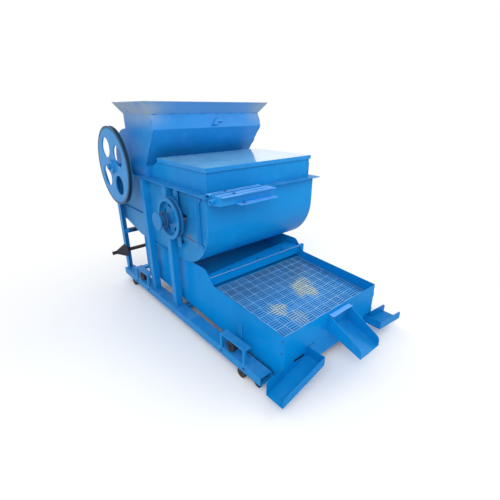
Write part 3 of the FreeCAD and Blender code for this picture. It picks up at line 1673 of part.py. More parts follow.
def make_drive():
    """The eccentric shaft across the rear legs, its bearings and the straps that shake the tray."""
    middle = d.eccentric_station
    level = d.eccentric_level
    parts = [rod((-d.side_reach, d.eccentric_shaft_right), middle, level, d.eccentric_shaft_radius)]
    for side in (-1, 1):
        centre = d.eccentric_place * side
        across = (centre - d.eccentric_width / 2, centre + d.eccentric_width / 2)
        parts.append(rod(across, middle, level + d.eccentric_offset, d.eccentric_radius))
    name(join(*parts), "eccentric_shaft")
    bearings = []
    for side in (-1, 1):
        near = d.post_outer
        cone = doc.addObject("Part::Cone", "Cone")
        cone.setExpression("Radius1", d.cone_base_radius.formula)
        cone.setExpression("Radius2", d.cone_tip_radius.formula)
        cone.setExpression("Height", d.cone_length.formula)
        turn = FreeCAD.Rotation(FreeCAD.Vector(0, 1, 0), QUARTER_TURN * side)
        place(cone, near * side, station(middle), level, turn)
        bore_x = span(side, near - d.overrun, near + d.cone_length + d.overrun)
        bore = rod(bore_x, middle, level, d.eccentric_shaft_radius + d.bearing_clearance)
        bearings.append(cut(cone, bore))
    name(group(*bearings), "eccentric_bearings")
    straps = []
    for side in (-1, 1):
        centre = d.eccentric_place * side
        half = d.eccentric_width / 2
        across = (centre - half, centre + half)
        hole_radius = d.eccentric_radius + d.strap_ring_play
        ring = rod(across, middle, level, hole_radius + d.strap_ring_wall)
        hole = rod((across[0] - d.overrun, across[1] + d.overrun), middle, level, hole_radius)
        half_wide = d.connecting_width / 2
        end = middle - hole_radius - d.strap_ring_wall / 2
        half_high = d.connecting_height / 2
        arm_x = (centre - half_wide, centre + half_wide)
        arm = block(arm_x, (d.tray_rear, end), (level - half_high, level + half_high))
        foot = block(
            arm_x,
            (d.tray_rear, d.tray_rear + d.angle_wall),
            (level - d.connecting_width, level + d.connecting_width),
        )
        straps.append(cut(join(ring, arm, foot), hole))
    name(group(*straps), "connecting_straps")


def check_and_write():
    """Check every object of the document, then write each piece to its own file."""
    doc.recompute()
    for item in doc.Objects:
        if "Invalid" in item.State or "Error" in item.State:
            raise RuntimeError(f"{item.Label} failed: {item.State}")
    os.makedirs("parts", exist_ok=True)
    bad = [item.Label for item in NODES if item.Shape.isNull() or not item.Shape.isValid()]
    bad += [item.Label for item in NODES if not item.Shape.Solids]
    if bad:
        raise RuntimeError(f"no valid shape: {bad}")
    for item in NODES:
        item.Shape.exportStep(f"parts/{item.Label}.step")
    print(len(NODES), "nodes written")


make_base()
make_body()
make_hopper()
make_concave()
make_drum()
make_fan()
make_shutters()
make_cover()
clamp_bolts = make_motor_mount()
make_tray()
make_chutes()
make_rollers(clamp_bolts)
make_drive()
check_and_write()
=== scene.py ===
"""Visual model of a peanut sheller: finishes, welds, fasteners and the sieve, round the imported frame."""

from __future__ import annotations

import json
import logging
import math
from dataclasses import dataclass, field
from enum import Enum
from typing import Optional, Sequence, Union

import bmesh
import bpy
import numpy as np
from mathutils import Matrix, Vector

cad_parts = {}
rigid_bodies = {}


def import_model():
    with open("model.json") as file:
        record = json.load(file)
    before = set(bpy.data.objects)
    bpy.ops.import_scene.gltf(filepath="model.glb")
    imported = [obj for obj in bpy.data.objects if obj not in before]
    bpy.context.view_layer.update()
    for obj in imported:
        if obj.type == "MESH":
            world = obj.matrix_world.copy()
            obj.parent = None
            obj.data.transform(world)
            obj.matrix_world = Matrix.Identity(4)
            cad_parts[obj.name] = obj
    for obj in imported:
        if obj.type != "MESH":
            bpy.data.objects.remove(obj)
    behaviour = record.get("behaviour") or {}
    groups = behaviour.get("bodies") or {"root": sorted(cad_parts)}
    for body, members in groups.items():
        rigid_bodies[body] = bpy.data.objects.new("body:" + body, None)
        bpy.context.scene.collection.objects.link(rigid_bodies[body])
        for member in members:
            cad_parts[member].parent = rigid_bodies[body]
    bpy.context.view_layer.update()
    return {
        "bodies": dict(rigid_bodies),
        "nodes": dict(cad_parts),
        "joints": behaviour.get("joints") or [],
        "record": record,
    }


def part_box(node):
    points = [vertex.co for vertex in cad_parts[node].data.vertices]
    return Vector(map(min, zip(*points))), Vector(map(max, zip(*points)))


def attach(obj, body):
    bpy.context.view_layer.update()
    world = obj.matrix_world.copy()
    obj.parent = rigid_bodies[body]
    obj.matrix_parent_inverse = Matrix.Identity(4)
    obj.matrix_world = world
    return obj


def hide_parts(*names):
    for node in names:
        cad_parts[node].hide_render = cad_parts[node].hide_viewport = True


log = logging.getLogger("sheller")

FRONT_Y = -0.8595
BODY_HALF = 0.470
# Y and Z of the drum's axis and of the fan's.
DRUM_AXIS = (0.7955, 1.06)
FAN_AXIS = (0.0725, 0.815)
# How far the edge of a painted region fades, in metres.
SOFT = 0.001
TURN = 2 * math.pi
SIDES = (-1.0, 1.0)
UP = (0.0, 0.0, 1.0)

Socket = bpy.types.NodeSocket
Material = bpy.types.Material
Number = Union["Value", float]
Screen = tuple[int, int, int]
Triple = tuple[float, float, float]
Colour = Union[Triple, Socket]
Pair = tuple[float, float]
Point = Sequence[float]
Given = Optional[dict]


def station(distance: float) -> float:
    """Give the Y of a place that lies this many metres behind the tray's front wall."""
    return FRONT_Y + distance


def linear(red: int, green: int, blue: int) -> Triple:
    """Turn a colour as seen on a screen, 0 to 255, into linear light."""
    shares = (channel / 255 for channel in (red, green, blue))
    return tuple(s / 12.92 if s <= 0.04045 else ((s + 0.055) / 1.055) ** 2.4 for s in shares)


class Slot(Enum):
    """Material slots of the record."""

    PAINT = "blue_paint"
    WORN = "worn_steel"


class Value:
    """A shader socket that takes part in Python sums; each operator adds its Math node."""

    def __init__(self, graph: Graph, socket: Socket) -> None:
        """Keep the socket and the graph that it belongs to."""
        self.graph = graph
        self.socket = socket

    def _math(self, operation: str, *terms: Number, clamp: bool = False) -> Value:
        """Add one Math node.

        Args:
            operation: the node's operation.
            terms: its inputs in order.
            clamp: whether the result is held between 0 and 1.

        Returns:
            The node's output.
        """
        settings = {"operation": operation, "use_clamp": clamp}
        node = self.graph.make("ShaderNodeMath", settings, dict(enumerate(terms)))
        return Value(self.graph, node.outputs[0])

    def __add__(self, other: Number) -> Value:
        """Add."""
        return self._math("ADD", self, other)

    def __sub__(self, other: Number) -> Value:
        """Subtract."""
        return self._math("SUBTRACT", self, other)

    def __rsub__(self, other: Number) -> Value:
        """Subtract this from a number."""
        return self._math("SUBTRACT", other, self)

    def __mul__(self, other: Number) -> Value:
        """Multiply."""
        return self._math("MULTIPLY", self, other)

    def __truediv__(self, other: Number) -> Value:
        """Divide."""
        return self._math("DIVIDE", self, other)

    __radd__ = __add__
    __rmul__ = __mul__

    def clamped(self) -> Value:
        """Hold the value between 0 and 1."""
        return self._math("ADD", self, 0.0, clamp=True)

    def size(self) -> Value:
        """Drop the sign."""
        return self._math("ABSOLUTE", self)

    def beside(self, other: Value) -> Value:
        """Give the distance that this offset and another, square to it, make together."""
        return self._math("SQRT", self * self + other * other)

    def folded(self) -> Value:
        """Give the distance to the nearest whole number."""
        return self._math("PINGPONG", self, 0.5)

    def above(self, low: float, high: float) -> Value:
        """Rise smoothly from 0 at low to 1 at high, or fall where high is the lower of the two."""
        settings = {"interpolation_type": "SMOOTHSTEP"}
        inputs = {"Value": self, "From Min": low, "From Max": high}
        return Value(self.graph, self.graph.make("ShaderNodeMapRange", settings, inputs).outputs["Result"])

    def within(self, low: float, high: float, soft: float = SOFT) -> Value:
        """Give 1 between two values and 0 beyond them, with edges this soft."""
        return self.above(low - soft, low) * self.above(high + soft, high)


class Graph:
    """A node tree that is being built."""

    def __init__(self, tree: bpy.types.NodeTree, output: str) -> None:
        """Empty the tree and add its output node."""
        self.tree = tree
        self.tree.nodes.clear()
        self.output = self.make(output)

    def make(self, kind: str, settings: Given = None, inputs: Given = None) -> bpy.types.Node:
        """Add a node of any type.

        Args:
            kind: the node's type.
            settings: its properties, set first.
            inputs: values or links of its sockets, by name or number.

        Returns:
            The node.
        """
        node = self.tree.nodes.new(kind)
        for key, value in (settings or {}).items():
            setattr(node, key, value)
        for key, value in (inputs or {}).items():
            value = value.socket if isinstance(value, Value) else value
            if isinstance(value, Socket):
                self.tree.links.new(value, node.inputs[key])
            else:
                node.inputs[key].default_value = value
        return node

    def finish(self, shader: bpy.types.Node) -> None:
        """Link a shader to the output."""
        self.tree.links.new(shader.outputs[0], self.output.inputs["Surface"])


class Skin(Graph):
    """The node tree of one material, with the patterns that finishes are made of."""

    EDGE_RADIUS = 0.004
    ROUNDING = 0.0025
    COAT_ROUGH = 0.07
    RAGGED = 1.9
    SPOT_EDGE = (1.0, 0.55)
    EDGE_TURN = (0.01, 0.22)

    def __init__(self, name: str) -> None:
        """Make the material and split the object coordinates."""
        self.material = bpy.data.materials.new(name)
        self.material.use_nodes = True
        super().__init__(self.material.node_tree, "ShaderNodeOutputMaterial")
        self.coords = self.make("ShaderNodeTexCoord").outputs["Object"]
        self.x, self.y, self.z = (Value(self, socket) for socket in self.split(self.coords))

    def split(self, vector: Socket) -> bpy.types.NodeOutputs:
        """Give the three parts of a vector."""
        return self.make("ShaderNodeSeparateXYZ", {}, {0: vector}).outputs

    def noise(
        self, scale: float, detail: float = 3.0, roughness: float = 0.5, stretch: Triple = (1, 1, 1)
    ) -> Value:
        """Give cloud noise on object coordinates.

        Args:
            scale: clouds per metre.
            detail: octaves.
            roughness: strength of the finer octaves.
            stretch: scale along each axis.

        Returns:
            The noise, about 0.5.
        """
        place = self.make("ShaderNodeMapping", {}, {"Vector": self.coords, "Scale": stretch}).outputs[0]
        inputs = {"Vector": place, "Scale": scale, "Detail": detail, "Roughness": roughness}
        return Value(self, self.make("ShaderNodeTexNoise", {}, inputs).outputs[0])

    def specks(self, scale: float) -> Value:
        """Give the distance to the nearest of many scattered points."""
        inputs = {"Vector": self.coords, "Scale": scale}
        return Value(self, self.make("ShaderNodeTexVoronoi", {"feature": "F1"}, inputs).outputs["Distance"])

    def spot(self, across: Value, along: Value, reach: float, ragged: Value) -> Value:
        """Give a patch with a ragged edge.

        Args:
            across: distance from the patch's middle along one axis.
            along: distance from its middle along the other.
            reach: the patch's radius in metres.
            ragged: noise about 0.5 that breaks the edge.

        Returns:
            1 in the patch and 0 outside it.
        """
        return (across.beside(along) / reach + (ragged - 0.5) * self.RAGGED).above(*self.SPOT_EDGE)

    def normal(self) -> Socket:
        """Give the surface's true normal."""
        return self.make("ShaderNodeNewGeometry").outputs["Normal"]

    def rounded(self, radius: float) -> Socket:
        """Give the normal with edges rounded to a radius."""
        return self.make("ShaderNodeBevel", {"samples": 4}, {"Radius": radius}).outputs[0]

    def upward(self) -> Value:
        """Give how far the surface faces up."""
        return Value(self, self.split(self.normal())[2])

    def edges(self) -> Value:
        """Give 1 on edges, from the difference between the rounded and the true normal."""
        inputs = {0: self.normal(), 1: self.rounded(self.EDGE_RADIUS)}
        dot = self.make("ShaderNodeVectorMath", {"operation": "DOT_PRODUCT"}, inputs)
        return (1 - Value(self, dot.outputs["Value"])).above(*self.EDGE_TURN)

    def crevice(self, distance: float) -> Value:
        """Give how far a place is shut in by what stands within this distance."""
        node = self.make("ShaderNodeAmbientOcclusion", {"samples": 6}, {"Distance": distance})
        return 1 - Value(self, node.outputs["AO"])

    def blend(self, first: Colour, second: Colour, factor: Value) -> Socket:
        """Mix two colours, the first at factor 0 and the second at factor 1."""
        pair = [(*colour, 1.0) if isinstance(colour, tuple) else colour for colour in (first, second)]
        inputs = {0: factor, 6: pair[0], 7: pair[1]}
        return self.make("ShaderNodeMix", {"data_type": "RGBA"}, inputs).outputs[2]

    def close(self, coat: Layers, depth: float, gloss: Number, specular: float, clear: float) -> Material:
        """Join everything to the surface shader.

        Args:
            coat: colour, roughness, bare share and relief.
            depth: the relief's real height in metres.
            gloss: clear gloss layer's weight.
            specular: specular level.
            clear: refractive index of the clear gloss layer.

        Returns:
            The finished material.
        """
        rounded = self.rounded(self.ROUNDING)
        relief = {"Height": coat.relief, "Distance": depth, "Strength": 1.0, "Normal": rounded}
        inputs = {
            "Base Color": coat.colour,
            "Roughness": coat.rough.clamped(),
            "Metallic": coat.bare.clamped(),
            "Normal": self.make("ShaderNodeBump", {}, relief).outputs[0],
            "Coat Weight": gloss,
            "Coat Roughness": self.COAT_ROUGH,
            "Coat IOR": clear,
            "Specular IOR Level": specular,
        }
        self.finish(self.make("ShaderNodeBsdfPrincipled", {}, inputs))
        return self.material


@dataclass
class Layers:
    """What a finish puts into the surface shader."""

    skin: Skin
    colour: Socket
    rough: Value
    bare: Value
    relief: Value

    def cover(self, tint: Screen, share: Value) -> None:
        """Lay a screen colour over the coat as far as the mask goes."""
        self.colour = self.skin.blend(self.colour, linear(*tint), share)


@dataclass(frozen=True)
class Paint:
    """Sprayed blue machine enamel over sheet steel, and the nodes that it covers."""

    name: str
    nodes: str = ""
    base: Screen = (2, 136, 208)
    shade: Screen = (0, 120, 192)
    # Painted highlight colour for the edges, also used for lighter rubbed patches.
    edge_highlight_and_wear: Screen = (40, 158, 232)
    dust: Screen = (120, 164, 196)
    # Dark colour for grime and painted shade in crevices.
    grime_and_shade: Screen = (8, 46, 88)
    metal: Screen = (92, 96, 104)
    dusty: float = 0.12
    worn: float = 0.16
    haze: float = 0.05
    rough: float = 0.36
    gloss: float = 0.05
    specular: float = 0.09
    clear: float = 1.6
    depth: float = 0.0006

    def material(self) -> Material:
        """Make the enamel."""
        skin = Skin(self.name)
        return skin.close(self.layers(skin), self.depth, self.shine(skin), self.specular, self.clear)

    def shine(self, skin: Skin) -> Number:
        """Give the weight of the clear gloss layer."""
        return self.gloss

    def layers(self, skin: Skin) -> Layers:
        """Build the enamel's layers.

        Args:
            skin: the material's graph.

        Returns:
            Cloudy sprayed colour with faint runs, dust on level faces, grime and painted shade in corners,
            painted highlights on edges with lighter rubbed patches, and small chips, over the peel of the
            spray and the slight waves of the sheet.
        """
        edge, cloud, mottle = skin.edges(), skin.noise(1.7), skin.noise(11, 4, 0.6)
        runs = skin.noise(14, 4, 0.6, (1.0, 1.0, 0.12))
        speck = skin.noise(60, 4, 0.7)
        shaded = (cloud.above(0.4, 0.68) * 0.7 + runs.above(0.5, 0.75) * 0.3).clamped()
        # Painted highlight on the edges, plus lighter rubbed patches at random.
        wear_and_painted_light = (mottle.above(0.5, 0.82) * 0.35 + edge * 0.55).clamped()
        settled = skin.upward().above(0.35, 0.95) * (0.35 + mottle.above(0.4, 0.7)) * self.dusty
        settled = (settled + self.haze * cloud.above(0.35, 0.7) * speck.above(0.2, 0.8)).clamped()
        # Grime and painted shade where nearby parts shut the surface in.
        grime_and_crevice_shade = (skin.crevice(0.05).above(0.5, 0.97) * (0.35 + mottle * 0.45)).clamped()
        scattered = skin.specks(16).above(0.07, 0.03) * speck.above(0.5, 0.6)
        chips = ((edge * speck.above(0.58, 0.68) + scattered) * self.worn).clamped()
        colour = skin.blend(linear(*self.base), linear(*self.shade), shaded)
        rough = self.rough + mottle * 0.12 + settled * 0.45 + grime_and_crevice_shade * 0.3
        relief = skin.noise(260, 2) * 0.3 + mottle * 0.5 + cloud * 2.0 - chips * 0.8
        made = Layers(skin, colour, rough, chips * 0.9, relief)
        coats = ((self.edge_highlight_and_wear, wear_and_painted_light), (self.dust, settled), (self.grime_and_shade, grime_and_crevice_shade), (self.metal, chips))
        for tint, share in coats:
            made.cover(tint, share)
        return made


@dataclass(frozen=True)
class HopperPaint(Paint):
    """Enamel of the hopper, whose open rim is bleached and dusty towards its ends."""

    bleached: Screen = (150, 166, 180)
    fade_ends: Pair = (0.26, 0.56)
    fade_levels: Pair = (1.30, 1.44)
    lip_levels: Pair = (1.418, 1.43)

    def layers(self, skin: Skin) -> Layers:
        """Add the bleaching to the enamel."""
        made = super().layers(skin)
        fade = skin.x.size().above(*self.fade_ends) * skin.z.above(*self.fade_levels)
        fade = (fade * skin.noise(7, 3).above(0.1, 0.7)).clamped()
        made.cover(self.bleached, (fade * 0.8 + skin.z.above(*self.lip_levels) * 0.3).clamped())
        made.rough += fade * 0.2
        return made


@dataclass(frozen=True)
class ToppedPaint(Paint):
    """Enamel with a painted highlight on its level top, above a given height."""

    # Painted highlight colour of the level top.
    top: Screen = (104, 180, 250)
    top_level: float = 0.0
    top_smooth: float = 0.0

    def layers(self, skin: Skin) -> Layers:
        """Paint a highlight on the top."""
        made = super().layers(skin)
        level = self.level(skin)
        # Painted highlight on the level top.
        made.cover(self.top, level * (0.75 + skin.noise(5, 4, 0.6).above(0.3, 0.7) * 0.25))
        made.rough -= level * self.top_smooth
        return made

    def level(self, skin: Skin) -> Value:
        """Give 1 on level faces above the top's height."""
        return skin.upward().above(0.85, 0.97) * skin.z.above(self.top_level - SOFT, self.top_level)


@dataclass(frozen=True)
class LidPaint(ToppedPaint):
    """Enamel of the lid, which kept its gloss on top, with a painted reflection in its pale top colour."""

    def shine(self, skin: Skin) -> Number:
        """Give gloss to the top only."""
        return self.level(skin) * self.gloss


@dataclass(frozen=True)
class RailPaint(ToppedPaint):
    """Enamel of the motor's rails, with painted shade along the slots where the clamp bolts slide."""

    # Painted shade colour along the slots.
    painted_light_tint: Screen = (54, 84, 158)
    reach: float = 0.0035
    fade: float = 0.0015
    end_fade: float = 0.004
    lines: tuple[Triple, ...] = ((0.592, -0.455, -0.115), (0.508, -0.445, -0.100), (0.4705, -0.325, -0.085))

    def layers(self, skin: Skin) -> Layers:
        """Add lines of painted shade along the slots, each with its station and the X of its two ends, to the
        tops.
        """
        made = super().layers(skin)
        level = self.level(skin)
        # Each line is painted shade along one slot.
        for distance, left, right in self.lines:
            near = (skin.y - station(distance)).size().above(self.reach + self.fade, self.reach)
            made.cover(self.painted_light_tint, near * skin.x.within(left, right, self.end_fade) * level * 0.8)
        return made


@dataclass(frozen=True)
class PlatePaint(Paint):
    """Enamel of the side plates, scuffed brown below the fan inlet and hazy towards the rear."""

    scuff: Screen = (104, 104, 112)
    chalk: Screen = (84, 142, 190)
    chalk_run: Pair = (station(1.15), station(1.75))
    scuffs: tuple[Triple, ...] = ((0.82, 0.700, 0.040), (0.77, 0.685, 0.022), (0.93, 0.690, 0.030))

    def layers(self, skin: Skin) -> Layers:
        """Add the chalky rear, and the scuffs with their station, height and radius, to the enamel."""
        made = super().layers(skin)
        ragged = skin.noise(20, 5, 0.7)
        chalky = skin.y.above(*self.chalk_run) * skin.noise(4, 3).above(0.2, 0.7) * 0.5
        made.cover(self.chalk, chalky.clamped())
        for distance, level, reach in self.scuffs:
            worn = skin.spot(skin.y - station(distance), (skin.z - level) * 1.6, reach, ragged)
            made.cover(self.scuff, worn * 0.65)
            made.rough += worn * 0.25
        return made


@dataclass(frozen=True)
class DarkRegionPaint(Paint):
    """Enamel that darkens one region, counted from the middle of the machine."""

    dark_tint: Screen = (28, 40, 58)
    half: Pair = (0.0, 0.468)
    height: Pair = (0.438, 0.476)

    def layers(self, skin: Skin) -> Layers:
        """Darken the region."""
        made = super().layers(skin)
        region = skin.x.size().within(*self.half) * skin.z.within(*self.height)
        made.cover(self.dark_tint, ((skin.noise(24, 4).above(0.3, 0.7) * 0.3 + 0.7) * region).clamped())
        return made


@dataclass(frozen=True)
class PulleyPaint(Paint):
    """Enamel on a cast pulley whose belt grooves are rubbed to dark steel, with painted shade deepest in
    their hollows.
    """

    axis: Pair = DRUM_AXIS
    groove_radius: float = 0.268
    groove_side: Pair = (-0.6215, -0.5765)
    groove_fade: float = 0.0005
    # Dark colour of the belt-worn grooves, also their painted shade.
    belt_wear_and_shade: Screen = (34, 62, 86)
    land: float = 0.8

    def layers(self, skin: Skin) -> Layers:
        """Darken the grooves where the belt ran, with painted shade deepest in the hollows, and add the
        casting's sand grain.
        """
        made = super().layers(skin)
        radius = (skin.y - self.axis[0]).beside(skin.z - self.axis[1])
        grooved = radius.above(self.groove_radius - SOFT, self.groove_radius)
        grooved = grooved * skin.x.within(*self.groove_side, self.groove_fade)
        # Painted shade deepest in the groove hollows.
        hollow = self.land + skin.crevice(0.02).above(0.08, 0.35) * (1 - self.land)
        wear_and_painted_light = (grooved * hollow * skin.noise(30, 4, 0.7).above(0.1, 0.4)).clamped()
        made.cover(self.belt_wear_and_shade, wear_and_painted_light)
        made.rough += wear_and_painted_light * 0.1
        made.bare += wear_and_painted_light * 0.15
        made.relief += skin.noise(420, 3, 0.7) * 0.5
        return made


@dataclass(frozen=True)
class Casting(Paint):
    """Enamel over a sand casting."""

    grain: float = 1.2

    def layers(self, skin: Skin) -> Layers:
        """Add the sand grain to the enamel."""
        made = super().layers(skin)
        made.relief += skin.noise(340, 4, 0.75) * self.grain
        made.rough += 0.08
        return made


@dataclass(frozen=True)
class Weave:
    """Layout of the sieve's squares, which its plate and its finish share."""

    half_width: float = 0.437
    front: float = 0.003
    rear: float = 0.690
    columns: int = 12
    rows: int = 10

    @property
    def side(self) -> float:
        """Give a square's size along X."""
        return 2 * self.half_width / self.columns

    @property
    def length(self) -> float:
        """Give a square's size along Y."""
        return (self.rear - self.front) / self.rows


@dataclass(frozen=True)
class SievePaint(Paint):
    """Enamel on the sieve: painted sheen over it and painted highlights on the seams, painted shade on the
    slot walls, underside and rear, with patches of pale meal.
    """

    meal: Screen = (216, 224, 192)
    # Painted sheen colour over the whole plate.
    painted_light_tint: Screen = (78, 168, 244)
    # Painted highlight colour of the seams between the squares.
    seam: Screen = (136, 194, 240)
    # Painted shade of the casing over the rear of the plate.
    rear_shade: Screen = (70, 116, 164)
    # Painted shade colour for the slot walls and the plate's underside.
    slot: Screen = (4, 26, 60)
    weave: Weave = Weave()
    seam_reach: Pair = (0.05, 0.03)
    rear_shade_run: Pair = (station(0.22), station(0.55))
    patches: tuple[tuple[float, float, float, float], ...] = (
        (0.105, 0.325, 0.105, 0.85),
        (0.175, 0.400, 0.060, 0.55),
        (-0.215, 0.265, 0.075, 0.7),
        (-0.165, 0.145, 0.075, 0.35),
    )

    def layers(self, skin: Skin) -> Layers:
        """Add a painted sheen, painted highlights on the seams between the squares, painted shade on the slot
        walls and towards the rear, and meal to the enamel.
        """
        made = super().layers(skin)
        # Painted sheen over the plate.
        made.cover(self.painted_light_tint, (0.55 + skin.noise(5, 3).above(0.3, 0.75) * 0.45).clamped())
        # Painted shade towards the rear, under the casing.
        rear_shaded = skin.y.above(*self.rear_shade_run) * (0.5 + skin.noise(6, 4, 0.6).above(0.3, 0.7) * 0.4)
        made.cover(self.rear_shade, rear_shaded.clamped())
        columns = ((skin.x + self.weave.half_width) / self.weave.side).folded()
        rows = ((skin.y - station(self.weave.front)) / self.weave.length).folded()
        # Painted highlight along the seams.
        lines = (columns.above(*self.seam_reach) + rows.above(*self.seam_reach)).clamped()
        made.cover(self.seam, lines * (0.35 + skin.noise(18, 3).above(0.3, 0.6) * 0.4))
        ragged = skin.noise(13, 5, 0.68)
        grains = 0.45 + skin.noise(80, 3, 0.7).above(0.38, 0.6) * 0.55
        for x, distance, reach, strength in self.patches:
            meal = skin.spot(skin.x - x, skin.y - station(distance), reach, ragged) * grains * strength
            made.cover(self.meal, meal)
            made.rough += meal * 0.3
        # Painted shade on every face that does not face up.
        made.cover(self.slot, skin.upward().above(0.75, 0.4))
        return made


@dataclass(frozen=True)
class Steel:
    """Bare, oiled or rusty steel, and the nodes that it covers."""

    name: str
    nodes: str = ""
    base: Screen = (118, 120, 122)
    stain: Screen = (70, 62, 56)
    rust: Screen = (110, 66, 40)
    rusty: float = 0.3
    rough: float = 0.38
    metal: float = 0.9
    polish: float = 1.7
    specular: float = 0.5
    clear: float = 1.6
    depth: float = 0.0004
    grain: Triple = (4.0, 60.0, 60.0)

    def material(self) -> Material:
        """Make steel with turned or rolled grain, oil stains and rust."""
        skin = Skin(self.name)
        edge, cloud, grain = skin.edges(), skin.noise(7, 4, 0.6), skin.noise(6, 3, 0.6, self.grain)
        patches = skin.noise(16, 5, 0.65).above(0.52, 0.68) + skin.crevice(0.03).above(0.5, 1.0) * 0.5
        rust = (patches * self.rusty).clamped()
        base = linear(*self.base)
        polished = tuple(min(1.0, channel * self.polish) for channel in base)
        colour = skin.blend(base, linear(*self.stain), cloud.above(0.4, 0.7) * 0.8)
        colour = skin.blend(colour, polished, (edge * 0.6 + grain.above(0.5, 0.8) * 0.25).clamped())
        rough = self.rough + cloud * 0.2 + rust * 0.35 - edge * 0.08
        relief = grain * 0.4 + skin.noise(130, 4, 0.7) * 0.3 + rust * 0.6
        made = Layers(skin, colour, rough, self.metal - rust * 0.8, relief)
        made.cover(self.rust, rust)
        return skin.close(made, self.depth, 0.0, self.specular, self.clear)


def placed(name: str, data: bpy.types.ID) -> bpy.types.Object:
    """Put a new object with this data into the scene."""
    made = bpy.data.objects.new(name, data)
    bpy.context.scene.collection.objects.link(made)
    return made


def outward(mesh: bpy.types.Mesh, merge: float = 0.0) -> None:
    """Turn a mesh's faces outwards, after its seams within a merging distance are closed."""
    shell = bmesh.new()
    shell.from_mesh(mesh)
    if merge:
        bmesh.ops.remove_doubles(shell, verts=shell.verts, dist=merge)
        bmesh.ops.holes_fill(shell, edges=[edge for edge in shell.edges if edge.is_boundary], sides=4)
    bmesh.ops.recalc_face_normals(shell, faces=shell.faces)
    shell.to_mesh(mesh)
    shell.free()


@dataclass
class Surface:
    """Points and polygons of one closed shape."""

    points: np.ndarray
    loops: np.ndarray
    sizes: np.ndarray

    @classmethod
    def joined(cls, parts: Sequence[Surface]) -> Surface:
        """Put several shapes into one, with their indices moved on."""
        starts = np.cumsum([0] + [len(part.points) for part in parts[:-1]])
        loops = [part.loops + start for part, start in zip(parts, starts)]
        rows = ([part.points for part in parts], loops, [part.sizes for part in parts])
        return cls(*(np.concatenate(row) for row in rows))

    def copies(self, places: np.ndarray, turns: np.ndarray) -> Surface:
        """Repeat the shape.

        Args:
            places: N by 3 origins.
            turns: N by 3 by 3 rotations, whose columns are the shape's new axes.

        Returns:
            All the copies as one shape: each point is turned, then moved to its place.
        """
        moved = np.einsum("nij,pj->npi", turns, self.points) + places[:, None, :]
        count = len(places)
        loops = self.loops[None, :] + np.arange(count)[:, None] * len(self.points)
        return Surface(moved.reshape(-1, 3), loops.reshape(-1), np.tile(self.sizes, count))

    def piece(self, name: str, material: Material, body: str, slot: Slot, smooth: float) -> bpy.types.Object:
        """Make the object, turn its faces outwards and hang it on its body.

        Args:
            name: the piece's name.
            material: its finish.
            body: the body it moves with.
            slot: the record's material slot; not used.
            smooth: edges sharper than this many degrees stay sharp.

        Returns:
            The new object.
        """
        mesh = bpy.data.meshes.new(name)
        mesh.vertices.add(len(self.points))
        mesh.vertices.foreach_set("co", self.points.astype(np.float32).ravel())
        mesh.loops.add(len(self.loops))
        mesh.loops.foreach_set("vertex_index", self.loops.astype(np.int32))
        mesh.polygons.add(len(self.sizes))
        mesh.polygons.foreach_set("loop_start", (np.cumsum(self.sizes) - self.sizes).astype(np.int32))
        mesh.update(calc_edges=True)
        mesh.validate()
        outward(mesh)
        mesh.polygons.foreach_set("use_smooth", np.ones(len(mesh.polygons), bool))
        mesh.set_sharp_from_angle(angle=math.radians(smooth))
        mesh.materials.append(material)
        made = placed(name, mesh)
        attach(made, body)
        log.info("%s: %d points on %s", name, len(self.points), body)
        return made


def swept(rings: np.ndarray, closed: bool = False) -> Surface:
    """Skin rings of points with quads.

    Args:
        rings: n by m by 3, ring after ring along the tube.
        closed: whether the last ring meets the first.

    Returns:
        Quads between neighbouring rings, with a flat polygon over each end unless the tube is closed.
    """
    n, m = rings.shape[:2]
    row, here = np.arange(n if closed else n - 1)[:, None], np.arange(m)[None, :]
    start, following, after = row * m, (row + 1) % n * m, (here + 1) % m
    quads = np.stack([start + here, start + after, following + after, following + here], axis=-1)
    loops, sizes = [quads.reshape(-1)], [np.full(row.size * m, 4)]
    if not closed:
        loops += [np.arange(m)[::-1], (n - 1) * m + np.arange(m)]
        sizes.append(np.array([m, m]))
    return Surface(rings.reshape(-1, 3), np.concatenate(loops), np.concatenate(sizes))


def spokes(first: np.ndarray, second: np.ndarray, around: int = 8) -> np.ndarray:
    """Give vectors round a circle: cos t times the first axis plus sin t times the second."""
    angle = np.arange(around)[:, None] / around * TURN
    return np.cos(angle) * first[..., None, :] + np.sin(angle) * second[..., None, :]


def axes_for(direction: Point) -> np.ndarray:
    """Give two unit vectors square to a direction, and the direction itself, as matrix columns."""
    main = np.asarray(direction, float)
    main = main / np.linalg.norm(main)
    spare = np.array([0.0, 0.0, 1.0]) if abs(main[2]) < 0.9 else np.array([1.0, 0.0, 0.0])
    first = np.cross(spare, main)
    first /= np.linalg.norm(first)
    return np.stack([first, np.cross(main, first), main], axis=1)


def turned(profile: Sequence[Pair], around: int = 20, flats: int = 0) -> Surface:
    """Turn a profile about the local Z axis.

    Args:
        profile: pairs of radius and height from the foot to the top.
        around: points round the axis.
        flats: number of flats, or 0 for a round shape.

    Returns:
        The point at angle t of a ring is radius times (cos t, sin t); with flats, the radius at t is the
        apothem divided by the cosine of the angle to the nearest flat's middle.
    """
    angle = np.arange(around) / around * TURN
    shape = np.ones(around)
    if flats:
        step = TURN / flats
        shape = 1 / np.cos((angle + step / 2) % step - step / 2)
    radius, height = np.asarray(profile, float).T[:, :, None]
    rings = [radius * np.cos(angle) * shape, radius * np.sin(angle) * shape, height * np.ones(around)]
    return swept(np.stack(rings, axis=-1))


